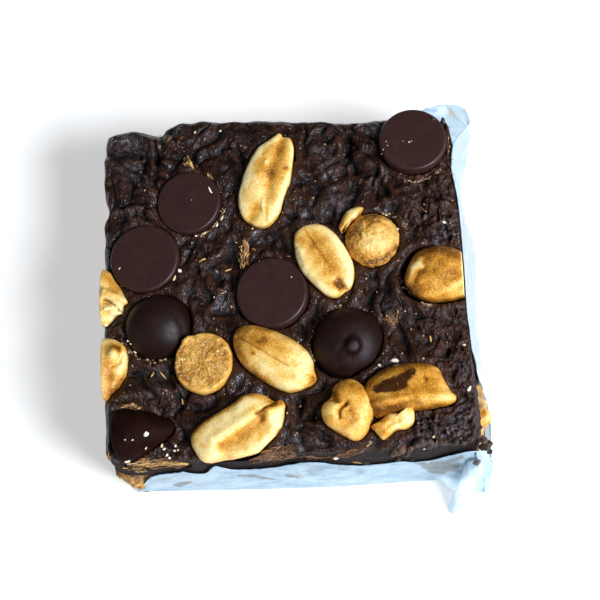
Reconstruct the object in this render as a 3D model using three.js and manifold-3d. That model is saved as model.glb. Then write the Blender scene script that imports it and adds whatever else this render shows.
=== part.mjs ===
// Chocolate peanut brownie, one cut square in its paper wrapper.
// Millimetres, +Z up. The origin is on the surface that the brownie stands on, under the middle
// of its top. +X is the right side, -Y is the front, where the wrapper's long wall stands.
import * as THREE from 'three';
import Module from 'manifold-3d';
import { mergeVertices } from 'three/addons/utils/BufferGeometryUtils.js';

const wasm = await Module();
wasm.setup();

// Driving dimensions

const BACK_LEFT = new THREE.Vector2(-30.4, 29.6);
const BACK_RIGHT = new THREE.Vector2(28.6, 27.6);
const FRONT_RIGHT = new THREE.Vector2(30.7, -27.5);
const FRONT_LEFT = new THREE.Vector2(-29.8, -27.5);
const TOP = 22;
const LAYER = 12.5;
const PAPER = 0.35;
const GAP = 0.3;
const CORNER_INSET = 0.7;
const CORNER_REACH = 1.2;
const CUT_INSET = 0.1;
const EDGE_DROPS = [1.0, 0.28, 0.04];
const FUDGE_STEPS = 24;
const BASE_STEPS = 15;
const KNIFE_REACH = 40;

// The rings down each layer's cut side: [height, share of the side's lean, roughness], and for
// the base [height, how far it is drawn in, roughness].
const FUDGE_RINGS = [
  [19.2, 0.35, 0.22], [15.8, 0.7, 0.28], [LAYER + 0.4, 0.95, 0.2], [LAYER, 0.8, 0.1],
];
const BASE_RINGS = [
  [LAYER, 0.1, 0.1], [11.6, 0, 0.3], [8.6, 0, 0.4], [5.2, 0, 0.4], [2, 0, 0.35], [PAPER, 0.2, 0.15],
];

// The base stands out of the sides most of all round these places: [x, y, width, length, size].
const BASE_PROUD = [[30.7, -24, 6, 13, 0.45], [-29.8, -27.5, 5, 5, 0.9]];

const CHOCOLATE = new THREE.MeshStandardMaterial({ color: 0x38241f, roughness: 0.35 });
const FUDGE = new THREE.MeshStandardMaterial({ color: 0x2e221f, roughness: 0.5 });
const NUT_BASE = new THREE.MeshStandardMaterial({ color: 0xc39a5e, roughness: 0.8 });
const PEANUT = new THREE.MeshStandardMaterial({ color: 0xe2b264, roughness: 0.5 });
const PEANUT_BUTTER = new THREE.MeshStandardMaterial({ color: 0xc89140, roughness: 0.6 });
const PARCHMENT = new THREE.MeshStandardMaterial({ color: 0xd5eefb, roughness: 0.6 });

// The cut sides, anticlockwise from above. Each bulge is [place from 0 to 1, width as a share of
// the side, millimetres out]. lean is how far the fudge's wall spreads on its way down.
const SIDES = [
  {
    from: FRONT_LEFT, to: FRONT_RIGHT, normal: new THREE.Vector2(0, -1), lean: 0.7,
    bulges: [[0.7, 0.12, 0.15], [0.22, 0.05, 0.35]],
  },
  {
    from: FRONT_RIGHT, to: BACK_RIGHT, normal: new THREE.Vector2(1, 0), lean: 0.15,
    bulges: [[0.1, 0.05, 0.2], [0.4, 0.08, -0.2], [0.86, 0.08, -0.7]],
  },
  {
    from: BACK_RIGHT, to: BACK_LEFT, normal: new THREE.Vector2(0, 1), lean: 0.3,
    bulges: [
      [0.2, 0.07, 0.4], [0.38, 0.06, 0.4], [0.57, 0.12, 1.5], [0.72, 0.06, 1.2], [0.79, 0.035, 0.9],
      [0.86, 0.03, -0.75], [0.94, 0.03, 0.2],
    ],
  },
  {
    from: BACK_LEFT, to: FRONT_LEFT, normal: new THREE.Vector2(-1, 0), lean: 0.3,
    bulges: [[0.24, 0.03, -0.8], [0.55, 0.1, 0.2]],
  },
];

// Large relief of the fudge: [x1, y1, x2, y2, width, millimetres up or down] along a short line.
const FOLDS = [
  [-30.1, 26.1, -15.7, 24.3, 0.9, -1.1],
  [-29.0, 28.0, -16.0, 26.8, 1.5, 0.5],
  [-20.5, 29.5, -20.3, 26.0, 0.7, -1.1],
  [-27.2, 15.0, -22.1, 15.3, 0.9, 0.6],
  [11.4, 25.5, 10.6, 19.5, 0.7, -0.9],
  [13.5, 22.0, 15.8, 19.0, 1.7, 0.7],
  [5.5, 23.5, 9.0, 14.0, 1.0, 0.5],
  [18.0, 14.0, 26.5, 12.5, 1.0, 0.5],
  [-18.0, 1.5, -11.0, 0.5, 1.0, 0.5],
  [2.0, -18.5, 6.5, -24.5, 1.0, -0.7],
  [-28.0, -17.0, -18.0, -15.5, 1.1, 0.6],
];

// Repeatable noise

function hash(i, j, seed) {
  const value = Math.sin(i * 127.1 + j * 311.7 + seed * 74.7) * 43758.5453;
  return value - Math.floor(value);
}

// Smooth noise from -1 to 1 over the plane.
function noise(x, y, seed) {
  const i = Math.floor(x);
  const j = Math.floor(y);
  const u = THREE.MathUtils.smoothstep(x - i, 0, 1);
  const v = THREE.MathUtils.smoothstep(y - j, 0, 1);
  const near = THREE.MathUtils.lerp(hash(i, j, seed), hash(i + 1, j, seed), u);
  const far = THREE.MathUtils.lerp(hash(i, j + 1, seed), hash(i + 1, j + 1, seed), u);
  return 2 * THREE.MathUtils.lerp(near, far, v) - 1;
}

function bell(distance, width) {
  return Math.exp(-((distance / width) ** 2));
}

// Solids and booleans

// Merges the shared vertices and drops the triangles that close up at a pole or a seam.
function welded(geometry) {
  const bare = new THREE.BufferGeometry();
  bare.setAttribute('position', geometry.getAttribute('position').clone());
  const count = bare.getAttribute('position').count;
  bare.setIndex(geometry.index ? geometry.index.clone() : [...Array(count).keys()]);
  const merged = mergeVertices(bare, 1e-4);
  const index = merged.index.array;
  const kept = [];
  for (let t = 0; t < index.length; t += 3) {
    const [a, b, c] = [index[t], index[t + 1], index[t + 2]];
    if (a !== b && b !== c && c !== a) kept.push(a, b, c);
  }
  merged.setIndex(kept);
  return merged;
}

function toSolid(geometry) {
  const mesh = welded(geometry);
  const vertProperties = new Float32Array(mesh.getAttribute('position').array);
  const triVerts = new Uint32Array(mesh.index.array);
  return new wasm.Manifold(new wasm.Mesh({ numProp: 3, vertProperties, triVerts }));
}

function toGeometry(solid) {
  const { vertProperties, triVerts } = solid.getMesh();
  const geometry = new THREE.BufferGeometry();
  geometry.setAttribute('position', new THREE.BufferAttribute(new Float32Array(vertProperties), 3));
  geometry.setIndex(new THREE.BufferAttribute(new Uint32Array(triVerts), 1));
  return geometry;
}

function largestPiece(solid) {
  const pieces = solid.decompose();
  return pieces.reduce((best, piece) => (piece.volume() > best.volume() ? piece : best));
}

function fromTriangles(points, triangles) {
  const geometry = new THREE.BufferGeometry();
  geometry.setAttribute('position', new THREE.Float32BufferAttribute(points.flat(), 3));
  geometry.setIndex(triangles.flat());
  return geometry;
}

// Outline of the square

// The sides again with their corners pulled in, so that each corner comes out round.
const [FRONT, RIGHT, BACK, LEFT] = SIDES.map((side, k) => {
  const before = SIDES[(k + 3) % 4];
  const after = SIDES[(k + 1) % 4];
  const pulledIn = (corner, neighbour) => corner.clone()
    .addScaledVector(side.normal, -CORNER_INSET).addScaledVector(neighbour.normal, -CORNER_INSET);
  const cornerNormal = side.normal.clone().add(before.normal).normalize();
  return { ...side, from: pulledIn(side.from, before), to: pulledIn(side.to, after), cornerNormal };
});

function sidePoint(side, share, out = 0) {
  const toEnd = Math.min(share, 1 - share) * side.from.distanceTo(side.to);
  let offset = out + CORNER_INSET * (1 - Math.exp(-toEnd / CORNER_REACH));
  for (const [at, width, size] of side.bulges) offset += size * bell(share - at, width);
  return side.from.clone().lerp(side.to, share).addScaledVector(side.normal, offset);
}

// Shares along a side, close together near its ends so that edges and corners come out crisp.
function sideShares(steps) {
  const shares = [0, 0.011, 0.03];
  for (let i = 1; i < steps; i++) shares.push(0.03 + (0.94 * i) / steps);
  shares.push(0.97, 0.989, 1);
  return shares;
}

// The outline as points, each with the way out, its side's lean and a running length for the noise.
function outline(steps) {
  const points = [];
  let run = 0;
  for (const side of [FRONT, RIGHT, BACK, LEFT]) {
    const length = side.from.distanceTo(side.to);
    for (const share of sideShares(steps).slice(0, -1)) {
      const normal = share === 0 ? side.cornerNormal : side.normal;
      points.push({ at: sidePoint(side, share), normal, lean: side.lean, run: run + share * length });
    }
    run += length;
  }
  return points;
}

// Food layers

function topHeight(x, y) {
  let z = TOP + 0.4 * noise(x / 7.5, y / 7.5, 1) + 0.25 * noise(x / 3.4, y / 3.4, 2);
  for (const [x1, y1, x2, y2, width, size] of FOLDS) {
    const line = new THREE.Line3(new THREE.Vector3(x1, y1, 0), new THREE.Vector3(x2, y2, 0));
    const point = new THREE.Vector3(x, y, 0);
    const distance = line.closestPointToPoint(point, true, new THREE.Vector3()).distanceTo(point);
    z += size * bell(distance, width);
  }
  return z;
}

// A closed body between stacked rings: the first ring may carry a grid as its lid.
function ringWalls(points, triangles, firstRing, rings) {
  let upper = firstRing;
  for (const ring of rings) {
    const lower = ring.map((point) => points.push(point) - 1);
    const count = lower.length;
    for (let m = 0; m < count; m++) {
      const n = (m + 1) % count;
      triangles.push([upper[m], lower[m], lower[n]], [upper[m], lower[n], upper[n]]);
    }
    upper = lower;
  }
  return upper;
}

function fan(points, triangles, ring, z, facesUp) {
  const centre = points.push([0, 0, z]) - 1;
  for (let m = 0; m < ring.length; m++) {
    const n = (m + 1) % ring.length;
    triangles.push(facesUp ? [centre, ring[m], ring[n]] : [centre, ring[n], ring[m]]);
  }
}

// The dark layer: a patch stretched between the four wavy sides, with walls down to the base.
function fudgeBody() {
  const shares = sideShares(FUDGE_STEPS);
  const last = shares.length - 1;
  const corner = (side) => sidePoint(side, 0);
  const points = [];
  const triangles = [];
  const index = (i, j) => j * (last + 1) + i;
  for (let j = 0; j <= last; j++) {
    for (let i = 0; i <= last; i++) {
      const [u, v] = [shares[i], shares[j]];
      const at = sidePoint(FRONT, u).multiplyScalar(1 - v).addScaledVector(sidePoint(BACK, 1 - u), v)
        .addScaledVector(sidePoint(LEFT, 1 - v), 1 - u).addScaledVector(sidePoint(RIGHT, v), u)
        .addScaledVector(corner(FRONT), -(1 - u) * (1 - v)).addScaledVector(corner(RIGHT), -u * (1 - v))
        .addScaledVector(corner(BACK), -u * v).addScaledVector(corner(LEFT), -(1 - u) * v);
      const drop = EDGE_DROPS[Math.min(i, j, last - i, last - j)] ?? 0;
      points.push([at.x, at.y, topHeight(at.x, at.y) - drop]);
    }
  }
  for (let j = 0; j < last; j++) {
    for (let i = 0; i < last; i++) {
      const [a, b, c, d] = [index(i, j), index(i + 1, j), index(i + 1, j + 1), index(i, j + 1)];
      triangles.push([a, b, c], [a, c, d]);
    }
  }
  const rim = [];
  for (let i = 0; i < last; i++) rim.push(index(i, 0));
  for (let j = 0; j < last; j++) rim.push(index(last, j));
  for (let i = last; i > 0; i--) rim.push(index(i, last));
  for (let j = last; j > 0; j--) rim.push(index(0, j));
  const edge = outline(FUDGE_STEPS);
  const rings = FUDGE_RINGS.map(([z, share, rough]) => edge.map(({ at, normal, lean, run }) => {
    const out = lean * share + rough * noise(run / 2.6, z / 3, 3);
    return [at.x + normal.x * out, at.y + normal.y * out, z];
  }));
  const bottom = ringWalls(points, triangles, rim, rings);
  fan(points, triangles, bottom, LAYER, false);
  return fromTriangles(points, triangles);
}

// The peanut base: it stands a little proud of the fudge, most of all at the front right.
function nutBaseBody() {
  const edge = outline(BASE_STEPS);
  const [top, ...rings] = BASE_RINGS.map(([z, inset, rough]) => edge.map(({ at, normal, lean, run }) => {
    let out = 0.9 * lean - inset + rough * noise(run / 2.4, z / 2.6, 4);
    for (const [x, y, width, length, size] of BASE_PROUD) {
      out += size * bell(at.x - x, width) * bell(at.y - y, length);
    }
    return [at.x + normal.x * out, at.y + normal.y * out, z];
  }));
  const points = [];
  const triangles = [];
  const lid = top.map((point) => points.push(point) - 1);
  fan(points, triangles, lid, LAYER, true);
  fan(points, triangles, ringWalls(points, triangles, lid, rings), PAPER, false);
  return fromTriangles(points, triangles);
}

// Toppings, each round its own centre with +Z up

// A baking chip: [share of the height, share of the radius] from its flat foot to its tip.
const CHIP_PROFILE = [
  [0, 0.88], [0.1, 0.99], [0.26, 0.99], [0.5, 0.84], [0.74, 0.46], [0.84, 0.23], [0.97, 0.16],
];
const DOME_PROFILE = [[0, 0.86], [0.1, 0.98], [0.3, 1], [0.6, 0.87], [0.85, 0.57], [0.97, 0.25]];

function chip({ diameter, height, profile = CHIP_PROFILE, footUp = false }, grow) {
  const segments = grow > 0 ? 14 : 20;
  const radius = diameter / 2 + grow;
  const tall = height + 2 * grow;
  const points = [new THREE.Vector2(0, 0)];
  for (const [up, out] of profile) points.push(new THREE.Vector2(radius * out, tall * up));
  points.push(new THREE.Vector2(0, tall));
  const geometry = new THREE.LatheGeometry(points, segments).rotateX(Math.PI / 2).translate(0, 0, -grow);
  return footUp ? geometry.rotateX(Math.PI) : geometry;
}

// A peanut kernel or half kernel that lies along X. top and bottom are its heights over and under
// its widest line. groove is the depth of the furrow along its top, egg makes one end the wider
// one, bend curves it sideways and blunt squares its ends.
function kernel(shape, grow) {
  const { length, width, top, bottom, groove = 0, grooveWidth = 0.3, egg = 0, bend = 0, blunt = 2.4 } = shape;
  const detail = grow > 0 ? 0.8 : 1;
  const stations = Math.round((shape.stations ?? 10) * detail);
  const around = Math.round((shape.around ?? 12) * detail);
  const points = [[-length / 2 - grow, 0, 0]];
  for (let i = 1; i < stations; i++) {
    const s = -Math.cos((Math.PI * i) / stations);
    const close = Math.sqrt(1 - Math.abs(s) ** blunt);
    const half = (width / 2 + grow) * close * (1 + egg * s);
    const middle = bend * (1 - s * s);
    for (let j = 0; j < around; j++) {
      const angle = (2 * Math.PI * j) / around;
      const [across, up] = [Math.cos(angle), Math.sin(angle)];
      const thick = up > 0 ? top + grow : bottom + grow;
      const furrow = up > 0 ? groove * bell(across, grooveWidth) * close : 0;
      const z = thick * close * Math.sign(up) * Math.abs(up) ** 0.8 - furrow;
      points.push([(length / 2 + grow) * s, middle + half * across, z]);
    }
  }
  const end = points.push([length / 2 + grow, 0, 0]) - 1;
  const index = (i, j) => 1 + (i - 1) * around + (j % around);
  const triangles = [];
  for (let j = 0; j < around; j++) {
    triangles.push([0, index(1, j + 1), index(1, j)]);
    triangles.push([end, index(stations - 1, j), index(stations - 1, j + 1)]);
    for (let i = 1; i < stations - 1; i++) {
      const [a, b, c, d] = [index(i, j), index(i, j + 1), index(i + 1, j + 1), index(i + 1, j)];
      triangles.push([a, b, c], [a, c, d]);
    }
  }
  return fromTriangles(points, triangles);
}

// Two round lobes of one shrunken peanut, grown together.
function twoLobes({ large, small, apart }, grow) {
  const first = toSolid(kernel(large, grow));
  const second = toSolid(kernel(small, grow).translate(...apart));
  return toGeometry(first.add(second));
}

const flatChip = (diameter, height) => (grow) => chip({ diameter, height, footUp: true }, grow);
const tipChip = (diameter, height) => (grow) => chip({ diameter, height }, grow);
const peanut = (shape) => (grow) => kernel(shape, grow);

// at is the centre, turn goes round Z, tip leans the piece about X and Y, all angles in degrees.
// A piece is cut clear of those above it in this list. cutSide slices it with the square's sides.
const TOPPINGS = [
  { name: 'chip_flat_1', material: CHOCOLATE, at: [-15.5, 15.8, 22.9], make: flatChip(11.0, 6.4) },
  { name: 'chip_flat_2', material: CHOCOLATE, at: [-23.0, 6.5, 23.0], make: flatChip(11.8, 6.6) },
  { name: 'chip_flat_3', material: CHOCOLATE, at: [-1.7, -0.7, 22.9], make: flatChip(12.1, 6.6) },
  {
    name: 'chip_flat_4', material: CHOCOLATE, at: [22.4, 23.7, 23.7], tip: [5, 5],
    make: flatChip(11.3, 6.4),
  },
  {
    name: 'chip_tip_1', material: CHOCOLATE, at: [-21.6, -4.9, 19.5], tip: [-17, 30],
    make: tipChip(11.6, 6.8),
  },
  {
    name: 'chip_tip_2', material: CHOCOLATE, at: [10.35, -9.45, 19.5], tip: [-16.8, 13.6],
    make: tipChip(11.9, 6.2),
  },
  {
    name: 'chip_tip_3', material: CHOCOLATE, at: [-25.0, -23.0, 19.6], turn: 3, tip: [0, 64.5],
    make: tipChip(9.8, 7.0),
  },
  {
    name: 'peanut_butter_chip_1', material: PEANUT_BUTTER, at: [-13.05, -11.95, 23.6], tip: [4, 0],
    make: flatChip(10.1, 6.2),
  },
  {
    name: 'peanut_butter_chip_2', material: PEANUT_BUTTER, at: [15.0, 7.3, 20.6],
    make: (grow) => chip({ diameter: 9.2, height: 4.2, profile: DOME_PROFILE }, grow),
  },
  {
    name: 'peanut_half_back', material: PEANUT, at: [-2.0, 18.3, 22.3], turn: 71,
    make: peanut({
      length: 16.8, width: 7.8, top: 1.8, bottom: 3.2, groove: 0.9, grooveWidth: 0.22, egg: -0.12,
    }),
  },
  {
    name: 'peanut_half_middle', material: PEANUT, at: [7.0, 3.8, 22.4], turn: -62.9,
    make: peanut({
      length: 13.5, width: 8.2, top: 2.0, bottom: 3.2, groove: 0.5, grooveWidth: 0.2, egg: 0.05,
    }),
  },
  {
    name: 'peanut_whole', material: PEANUT, at: [-1.4, -11.9, 22.5], turn: -37,
    make: peanut({
      length: 15.2, width: 8.2, top: 3.2, bottom: 3.6, groove: 0.25, grooveWidth: 0.12, egg: -0.08,
    }),
  },
  {
    name: 'peanut_half_front', material: PEANUT, at: [-7.25, -22.95, 22.4], turn: 25.5, tip: [6, 0],
    make: peanut({
      length: 16.6, width: 8.5, top: 3.0, bottom: 3.4, groove: 2.0, grooveWidth: 0.42, egg: -0.05,
    }),
  },
  {
    name: 'peanut_curled', material: PEANUT, at: [11.2, -21.1, 22.6], turn: 90,
    make: (grow) => twoLobes({
      large: { length: 9.7, width: 6.9, top: 3.4, bottom: 3.4, stations: 9, around: 12 },
      small: { length: 4.4, width: 4.2, top: 1.9, bottom: 2.2, stations: 6, around: 10 },
      apart: [-0.4, 3.0, 0],
    }, grow),
  },
  {
    name: 'peanut_glazed', material: PEANUT, at: [20.6, -18.2, 22.5], turn: 8,
    make: peanut({ length: 14.2, width: 8.2, top: 3.2, bottom: 3.6, bend: 0.6, egg: 0.05 }),
  },
  {
    name: 'peanut_crescent', material: PEANUT, at: [17.2, -23.1, 22.6], turn: 24,
    make: peanut({ length: 7.3, width: 3.4, top: 1.6, bottom: 1.9, bend: -0.9, stations: 8, around: 10 }),
  },
  {
    name: 'peanut_sliver', material: PEANUT, at: [11.4, 10.8, 22.4], turn: 48,
    make: peanut({ length: 4.8, width: 2.4, top: 1.6, bottom: 1.8, bend: 0.7, stations: 7, around: 8 }),
  },
  {
    name: 'peanut_cut_right', material: PEANUT, at: [26.2, 0.5, 22.0], turn: 4, cutSide: true,
    make: peanut({ length: 12.4, width: 9.4, top: 2.9, bottom: 4.0, groove: 0.2, grooveWidth: 0.15 }),
  },
  {
    name: 'peanut_cut_left_back', material: PEANUT, at: [-31.0, -0.2, 21.8], turn: 80, cutSide: true,
    make: peanut({ length: 11.4, width: 9.6, top: 2.2, bottom: 3.6, groove: 0.4 }),
  },
  {
    name: 'peanut_cut_left_front', material: PEANUT, at: [-30.9, -12.3, 21.9], turn: 84, cutSide: true,
    make: peanut({
      length: 11.2, width: 9.6, top: 2.6, bottom: 3.6, groove: 1.6, grooveWidth: 0.5, egg: 0.2,
    }),
  },
  {
    name: 'peanut_cut_front', material: PEANUT, at: [-21.6, -28.0, 19.4], turn: 3, cutSide: true,
    make: peanut({ length: 10.5, width: 7.0, top: 2.0, bottom: 2.2, stations: 9, around: 10 }),
  },
  {
    name: 'peanut_side_chunk', material: PEANUT, at: [30.0, -21.4, 13.2], turn: 4,
    make: peanut({ length: 5.4, width: 3.6, top: 1.8, bottom: 1.8, stations: 7, around: 8 }),
  },
];

// Paper wrapper

// Front wall: [x, height of the paper's upper edge, its distance in front of the square].
const FRONT_RIM = [
  [-29.2, 1.2, 0.8], [-26.4, 7.6, 0.85], [-24.2, 13, 0.8], [-21.5, 16.2, 0.8], [-19.6, 15.2, 0.8],
  [-17, 18, 0.75], [-15.2, 17, 0.8], [-11.1, 21.2, 0.6], [-9, 18, 0.8], [-3.2, 17, 0.95],
  [3.2, 20.2, 0.8], [10.3, 16.2, 1.05], [16.4, 17.4, 1.0], [21.5, 17.6, 0.95],
];
const FOOT_OUT = 0.8;
const FOOT_BOW = [4, 26, 0.85];
const PANEL_INSET = -0.5;
const PANEL_CORNER = [[26.5, -30.3], [30.3, -30.3]];
const PANEL_LEFT = -28.6;
const PANEL_RIGHT = 24;
const PANEL_STEP = 5.2;
const WALL_COLUMNS = 66;
const WALL_ROWS = 3;
const WALL_BULGE = 0.3;

// The folded ear at the front right corner: foot x, foot y, and the rim's x, y, z over it.
const EAR = [
  [23.4, -29.5, 24.6, -28.4, 18.8], [24.4, -30.6, 26.6, -28.35, 20.2], [26.0, -30.9, 28.4, -28.3, 21.0],
  [25.2, -32.1, 29.2, -28.3, 21.4], [24.3, -33.8, 29.8, -28.3, 21.6], [24.8, -34.6, 30.3, -28.3, 21.6],
  [26.2, -33.7, 30.8, -28.2, 21.2], [28.2, -31.9, 31.2, -28.0, 20.2], [29.6, -31.3, 31.6, -27.7, 18.4],
  [30.9, -30.7, 31.9, -27.2, 15.5],
];

// Right wall: [y, height of the upper edge, foot's and upper edge's distance from the square].
const RIGHT_WALL = [
  [-26.6, 9.5, 1.1, 1.35], [-24, 6, 1.2, 1.45], [-19.5, 6.5, 1.3, 1.5], [-16.5, 11, 1.2, 1.1],
  [-13.5, 18.5, 1.15, 0.75], [-8, 20.2, 1.0, 0.6], [-2.5, 20.4, 0.7, 0.55], [3, 20.3, 0.75, 0.6],
  [8.5, 20.4, 1.45, 0.9], [13, 20.6, 1.3, 0.7], [19, 20.6, 0.5, 0.1], [24, 21, 0.65, 1.0],
];

// The paper's free end curls round the back corner: foot x, foot y, rim x, rim y, rim z.
const CURL = [
  [29.5, 27.3, 31.7, 27.2, 21.4], [29.2, 29.2, 31.2, 29.2, 21.6], [28.0, 29.9, 29.5, 30.2, 21.4],
  [26.2, 29.9, 27.4, 30.3, 20.8], [24.2, 29.6, 25.3, 30.0, 20.0],
];

function frontEdge(x) {
  const share = (x - FRONT_LEFT.x) / (FRONT_RIGHT.x - FRONT_LEFT.x);
  return THREE.MathUtils.lerp(FRONT_LEFT.y, FRONT_RIGHT.y, share);
}

function frontFoot(x) {
  const [middle, width, size] = FOOT_BOW;
  return frontEdge(x) - FOOT_OUT - size * bell(x - middle, width);
}

function rightEdge(y) {
  const share = (y - FRONT_RIGHT.y) / (BACK_RIGHT.y - FRONT_RIGHT.y);
  return THREE.MathUtils.lerp(FRONT_RIGHT.x, BACK_RIGHT.x, share);
}

function wrapperStations() {
  const lying = PAPER * 0.65;
  const stations = [];
  for (const [x, z, out] of FRONT_RIM) {
    stations.push([[x - 0.2, frontFoot(x), 0], [x, frontEdge(x) - out, z]]);
  }
  for (const [footX, footY, x, y, z] of EAR) stations.push([[footX, footY, lying], [x, y, z]]);
  for (const [y, z, footOut, rimOut] of RIGHT_WALL) {
    stations.push([[rightEdge(y) + footOut, y, 0], [rightEdge(y) + rimOut, y, z]]);
  }
  for (const [footX, footY, x, y, z] of CURL) stations.push([[footX, footY, 0], [x, y, z]]);
  return stations;
}

const stations = wrapperStations();
const footCurve = new THREE.CatmullRomCurve3(stations.map(([foot]) => new THREE.Vector3(...foot)));
const rimCurve = new THREE.CatmullRomCurve3(stations.map(([, rim]) => new THREE.Vector3(...rim)));

// A point of the paper: along runs from the front wall's left end to the curl, up from foot to rim.
function paperPoint(along, up) {
  const foot = footCurve.getPoint(along);
  const rim = rimCurve.getPoint(along);
  return foot.lerp(rim, up);
}

// The standing part of the wrapper as a sheet of the given thickness, both faces split alike.
function paperWall(thickness) {
  const columns = WALL_COLUMNS;
  const rows = WALL_ROWS;
  const faces = [[], []];
  const step = 0.002;
  for (let i = 0; i <= columns; i++) {
    for (let j = 0; j <= rows; j++) {
      const [along, up] = [i / columns, j / rows];
      const across = paperPoint(Math.min(along + step, 1), up).sub(paperPoint(Math.max(along - step, 0), up));
      const normal = across.cross(paperPoint(along, 1).sub(paperPoint(along, 0))).normalize();
      const bulge = WALL_BULGE * (1 + noise(i / 3, j / 2, 5)) * Math.sin(Math.PI * up);
      const at = paperPoint(along, up).addScaledVector(normal, bulge);
      for (const [face, sign] of [[0, 1], [1, -1]]) {
        const point = at.clone().addScaledVector(normal, (sign * thickness) / 2);
        faces[face].push([point.x, point.y, Math.max(point.z, 0)]);
      }
    }
  }
  const count = faces[0].length;
  const index = (i, j, face) => face * count + i * (rows + 1) + j;
  const triangles = [];
  const quad = (a, b, c, d) => triangles.push([a, b, c], [a, c, d]);
  for (let i = 0; i < columns; i++) {
    for (let j = 0; j < rows; j++) {
      quad(index(i, j, 0), index(i + 1, j, 0), index(i + 1, j + 1, 0), index(i, j + 1, 0));
      quad(index(i, j, 1), index(i, j + 1, 1), index(i + 1, j + 1, 1), index(i + 1, j, 1));
    }
    quad(index(i, 0, 1), index(i + 1, 0, 1), index(i + 1, 0, 0), index(i, 0, 0));
    quad(index(i, rows, 0), index(i + 1, rows, 0), index(i + 1, rows, 1), index(i, rows, 1));
  }
  for (let j = 0; j < rows; j++) {
    quad(index(0, j, 1), index(0, j, 0), index(0, j + 1, 0), index(0, j + 1, 1));
    quad(index(columns, j, 0), index(columns, j, 1), index(columns, j + 1, 1), index(columns, j + 1, 0));
  }
  return fromTriangles([...faces[0], ...faces[1]], triangles);
}

// The panel of paper under the brownie, which joins the two walls.
function paperPanel() {
  const corners = [];
  for (let x = PANEL_LEFT; x < PANEL_RIGHT; x += PANEL_STEP) corners.push([x, frontFoot(x)]);
  corners.push(...PANEL_CORNER);
  for (const [y, , footOut] of RIGHT_WALL) corners.push([rightEdge(y) + footOut, y]);
  for (const side of [BACK, LEFT]) {
    for (let i = 1; i <= 12; i++) corners.push(sidePoint(side, i / 12, i < 12 ? PANEL_INSET : 0).toArray());
  }
  const shape = new THREE.Shape(corners.map(([x, y]) => new THREE.Vector2(x, y)));
  return new THREE.ExtrudeGeometry(shape, { depth: PAPER, bevelEnabled: false });
}

// Assembly

function placement({ at, turn = 0, tip = [0, 0] }) {
  const degrees = THREE.MathUtils.degToRad;
  const rotation = new THREE.Euler(degrees(-tip[0]), degrees(tip[1]), degrees(turn), 'ZYX');
  return { position: new THREE.Vector3(...at), rotation };
}

function placementMatrix(spec) {
  const { position, rotation } = placement(spec);
  const turned = new THREE.Quaternion().setFromEuler(rotation);
  return new THREE.Matrix4().compose(position, turned, new THREE.Vector3(1, 1, 1));
}

function boxOf(geometry) {
  geometry.computeBoundingBox();
  return geometry.boundingBox;
}

const brownie = new THREE.Group();
brownie.name = 'chocolate_peanut_brownie';

function addMesh(name, geometry, material) {
  const mesh = new THREE.Mesh(welded(geometry), material);
  mesh.name = name;
  mesh.geometry.computeVertexNormals();
  brownie.add(mesh);
  return mesh;
}

// A prism on the square's outline: what stands out of it was cut off with the knife.
function squarePrism() {
  const edge = outline(FUDGE_STEPS).map(({ at, normal }) => at.clone().addScaledVector(normal, -CUT_INSET));
  return toSolid(new THREE.ExtrudeGeometry(new THREE.Shape(edge), { depth: KNIFE_REACH, bevelEnabled: false }));
}

const knife = squarePrism();
const clearances = [];
for (const spec of TOPPINGS) {
  const matrix = placementMatrix(spec);
  const body = spec.make(0).applyMatrix4(matrix);
  const grown = spec.make(GAP).applyMatrix4(matrix);
  let solid = toSolid(body);
  if (spec.cutSide) solid = solid.intersect(knife);
  for (const other of clearances) {
    if (other.box.intersectsBox(boxOf(body))) solid = solid.subtract(other.solid);
  }
  clearances.push({ solid: toSolid(grown), box: boxOf(grown) });
  const geometry = toGeometry(largestPiece(solid)).applyMatrix4(matrix.clone().invert());
  const mesh = addMesh(spec.name, geometry, spec.material);
  const { position, rotation } = placement(spec);
  mesh.position.copy(position);
  mesh.rotation.copy(rotation);
}

function carved(geometry) {
  const sockets = clearances.map(({ solid }) => solid);
  const paperRoom = toSolid(paperWall(PAPER + 2 * GAP));
  return toGeometry(largestPiece(wasm.Manifold.difference([toSolid(geometry), ...sockets, paperRoom])));
}

addMesh('fudge_layer', carved(fudgeBody()), FUDGE);
addMesh('nut_base_layer', carved(nutBaseBody()), NUT_BASE);
const wrapper = toSolid(paperPanel()).add(toSolid(paperWall(PAPER)));
addMesh('paper_wrapper', toGeometry(largestPiece(wrapper)), PARCHMENT);

export default brownie;
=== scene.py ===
# Chocolate peanut brownie, one cut square in its paper wrapper: the detailed model.
# Every shape below is worked out in millimetres in the CAD frame and stored in metres.
import math

import bpy
import numpy as np
from mathutils import Euler, Matrix, Vector


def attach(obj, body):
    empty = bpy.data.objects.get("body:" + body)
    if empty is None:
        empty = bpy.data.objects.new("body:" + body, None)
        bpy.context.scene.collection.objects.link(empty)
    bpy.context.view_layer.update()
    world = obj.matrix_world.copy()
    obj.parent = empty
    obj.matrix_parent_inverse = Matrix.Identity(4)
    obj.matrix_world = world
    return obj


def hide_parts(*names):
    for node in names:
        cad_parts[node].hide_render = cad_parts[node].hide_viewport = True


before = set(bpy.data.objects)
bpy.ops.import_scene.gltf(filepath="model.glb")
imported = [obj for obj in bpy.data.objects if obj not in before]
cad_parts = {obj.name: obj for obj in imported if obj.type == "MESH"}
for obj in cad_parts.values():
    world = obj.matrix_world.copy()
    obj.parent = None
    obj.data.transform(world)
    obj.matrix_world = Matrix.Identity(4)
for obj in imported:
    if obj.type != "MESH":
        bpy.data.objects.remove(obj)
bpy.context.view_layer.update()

MM = 0.001

# Camera: it looks down on the square from in front and a little to the right.

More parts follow.
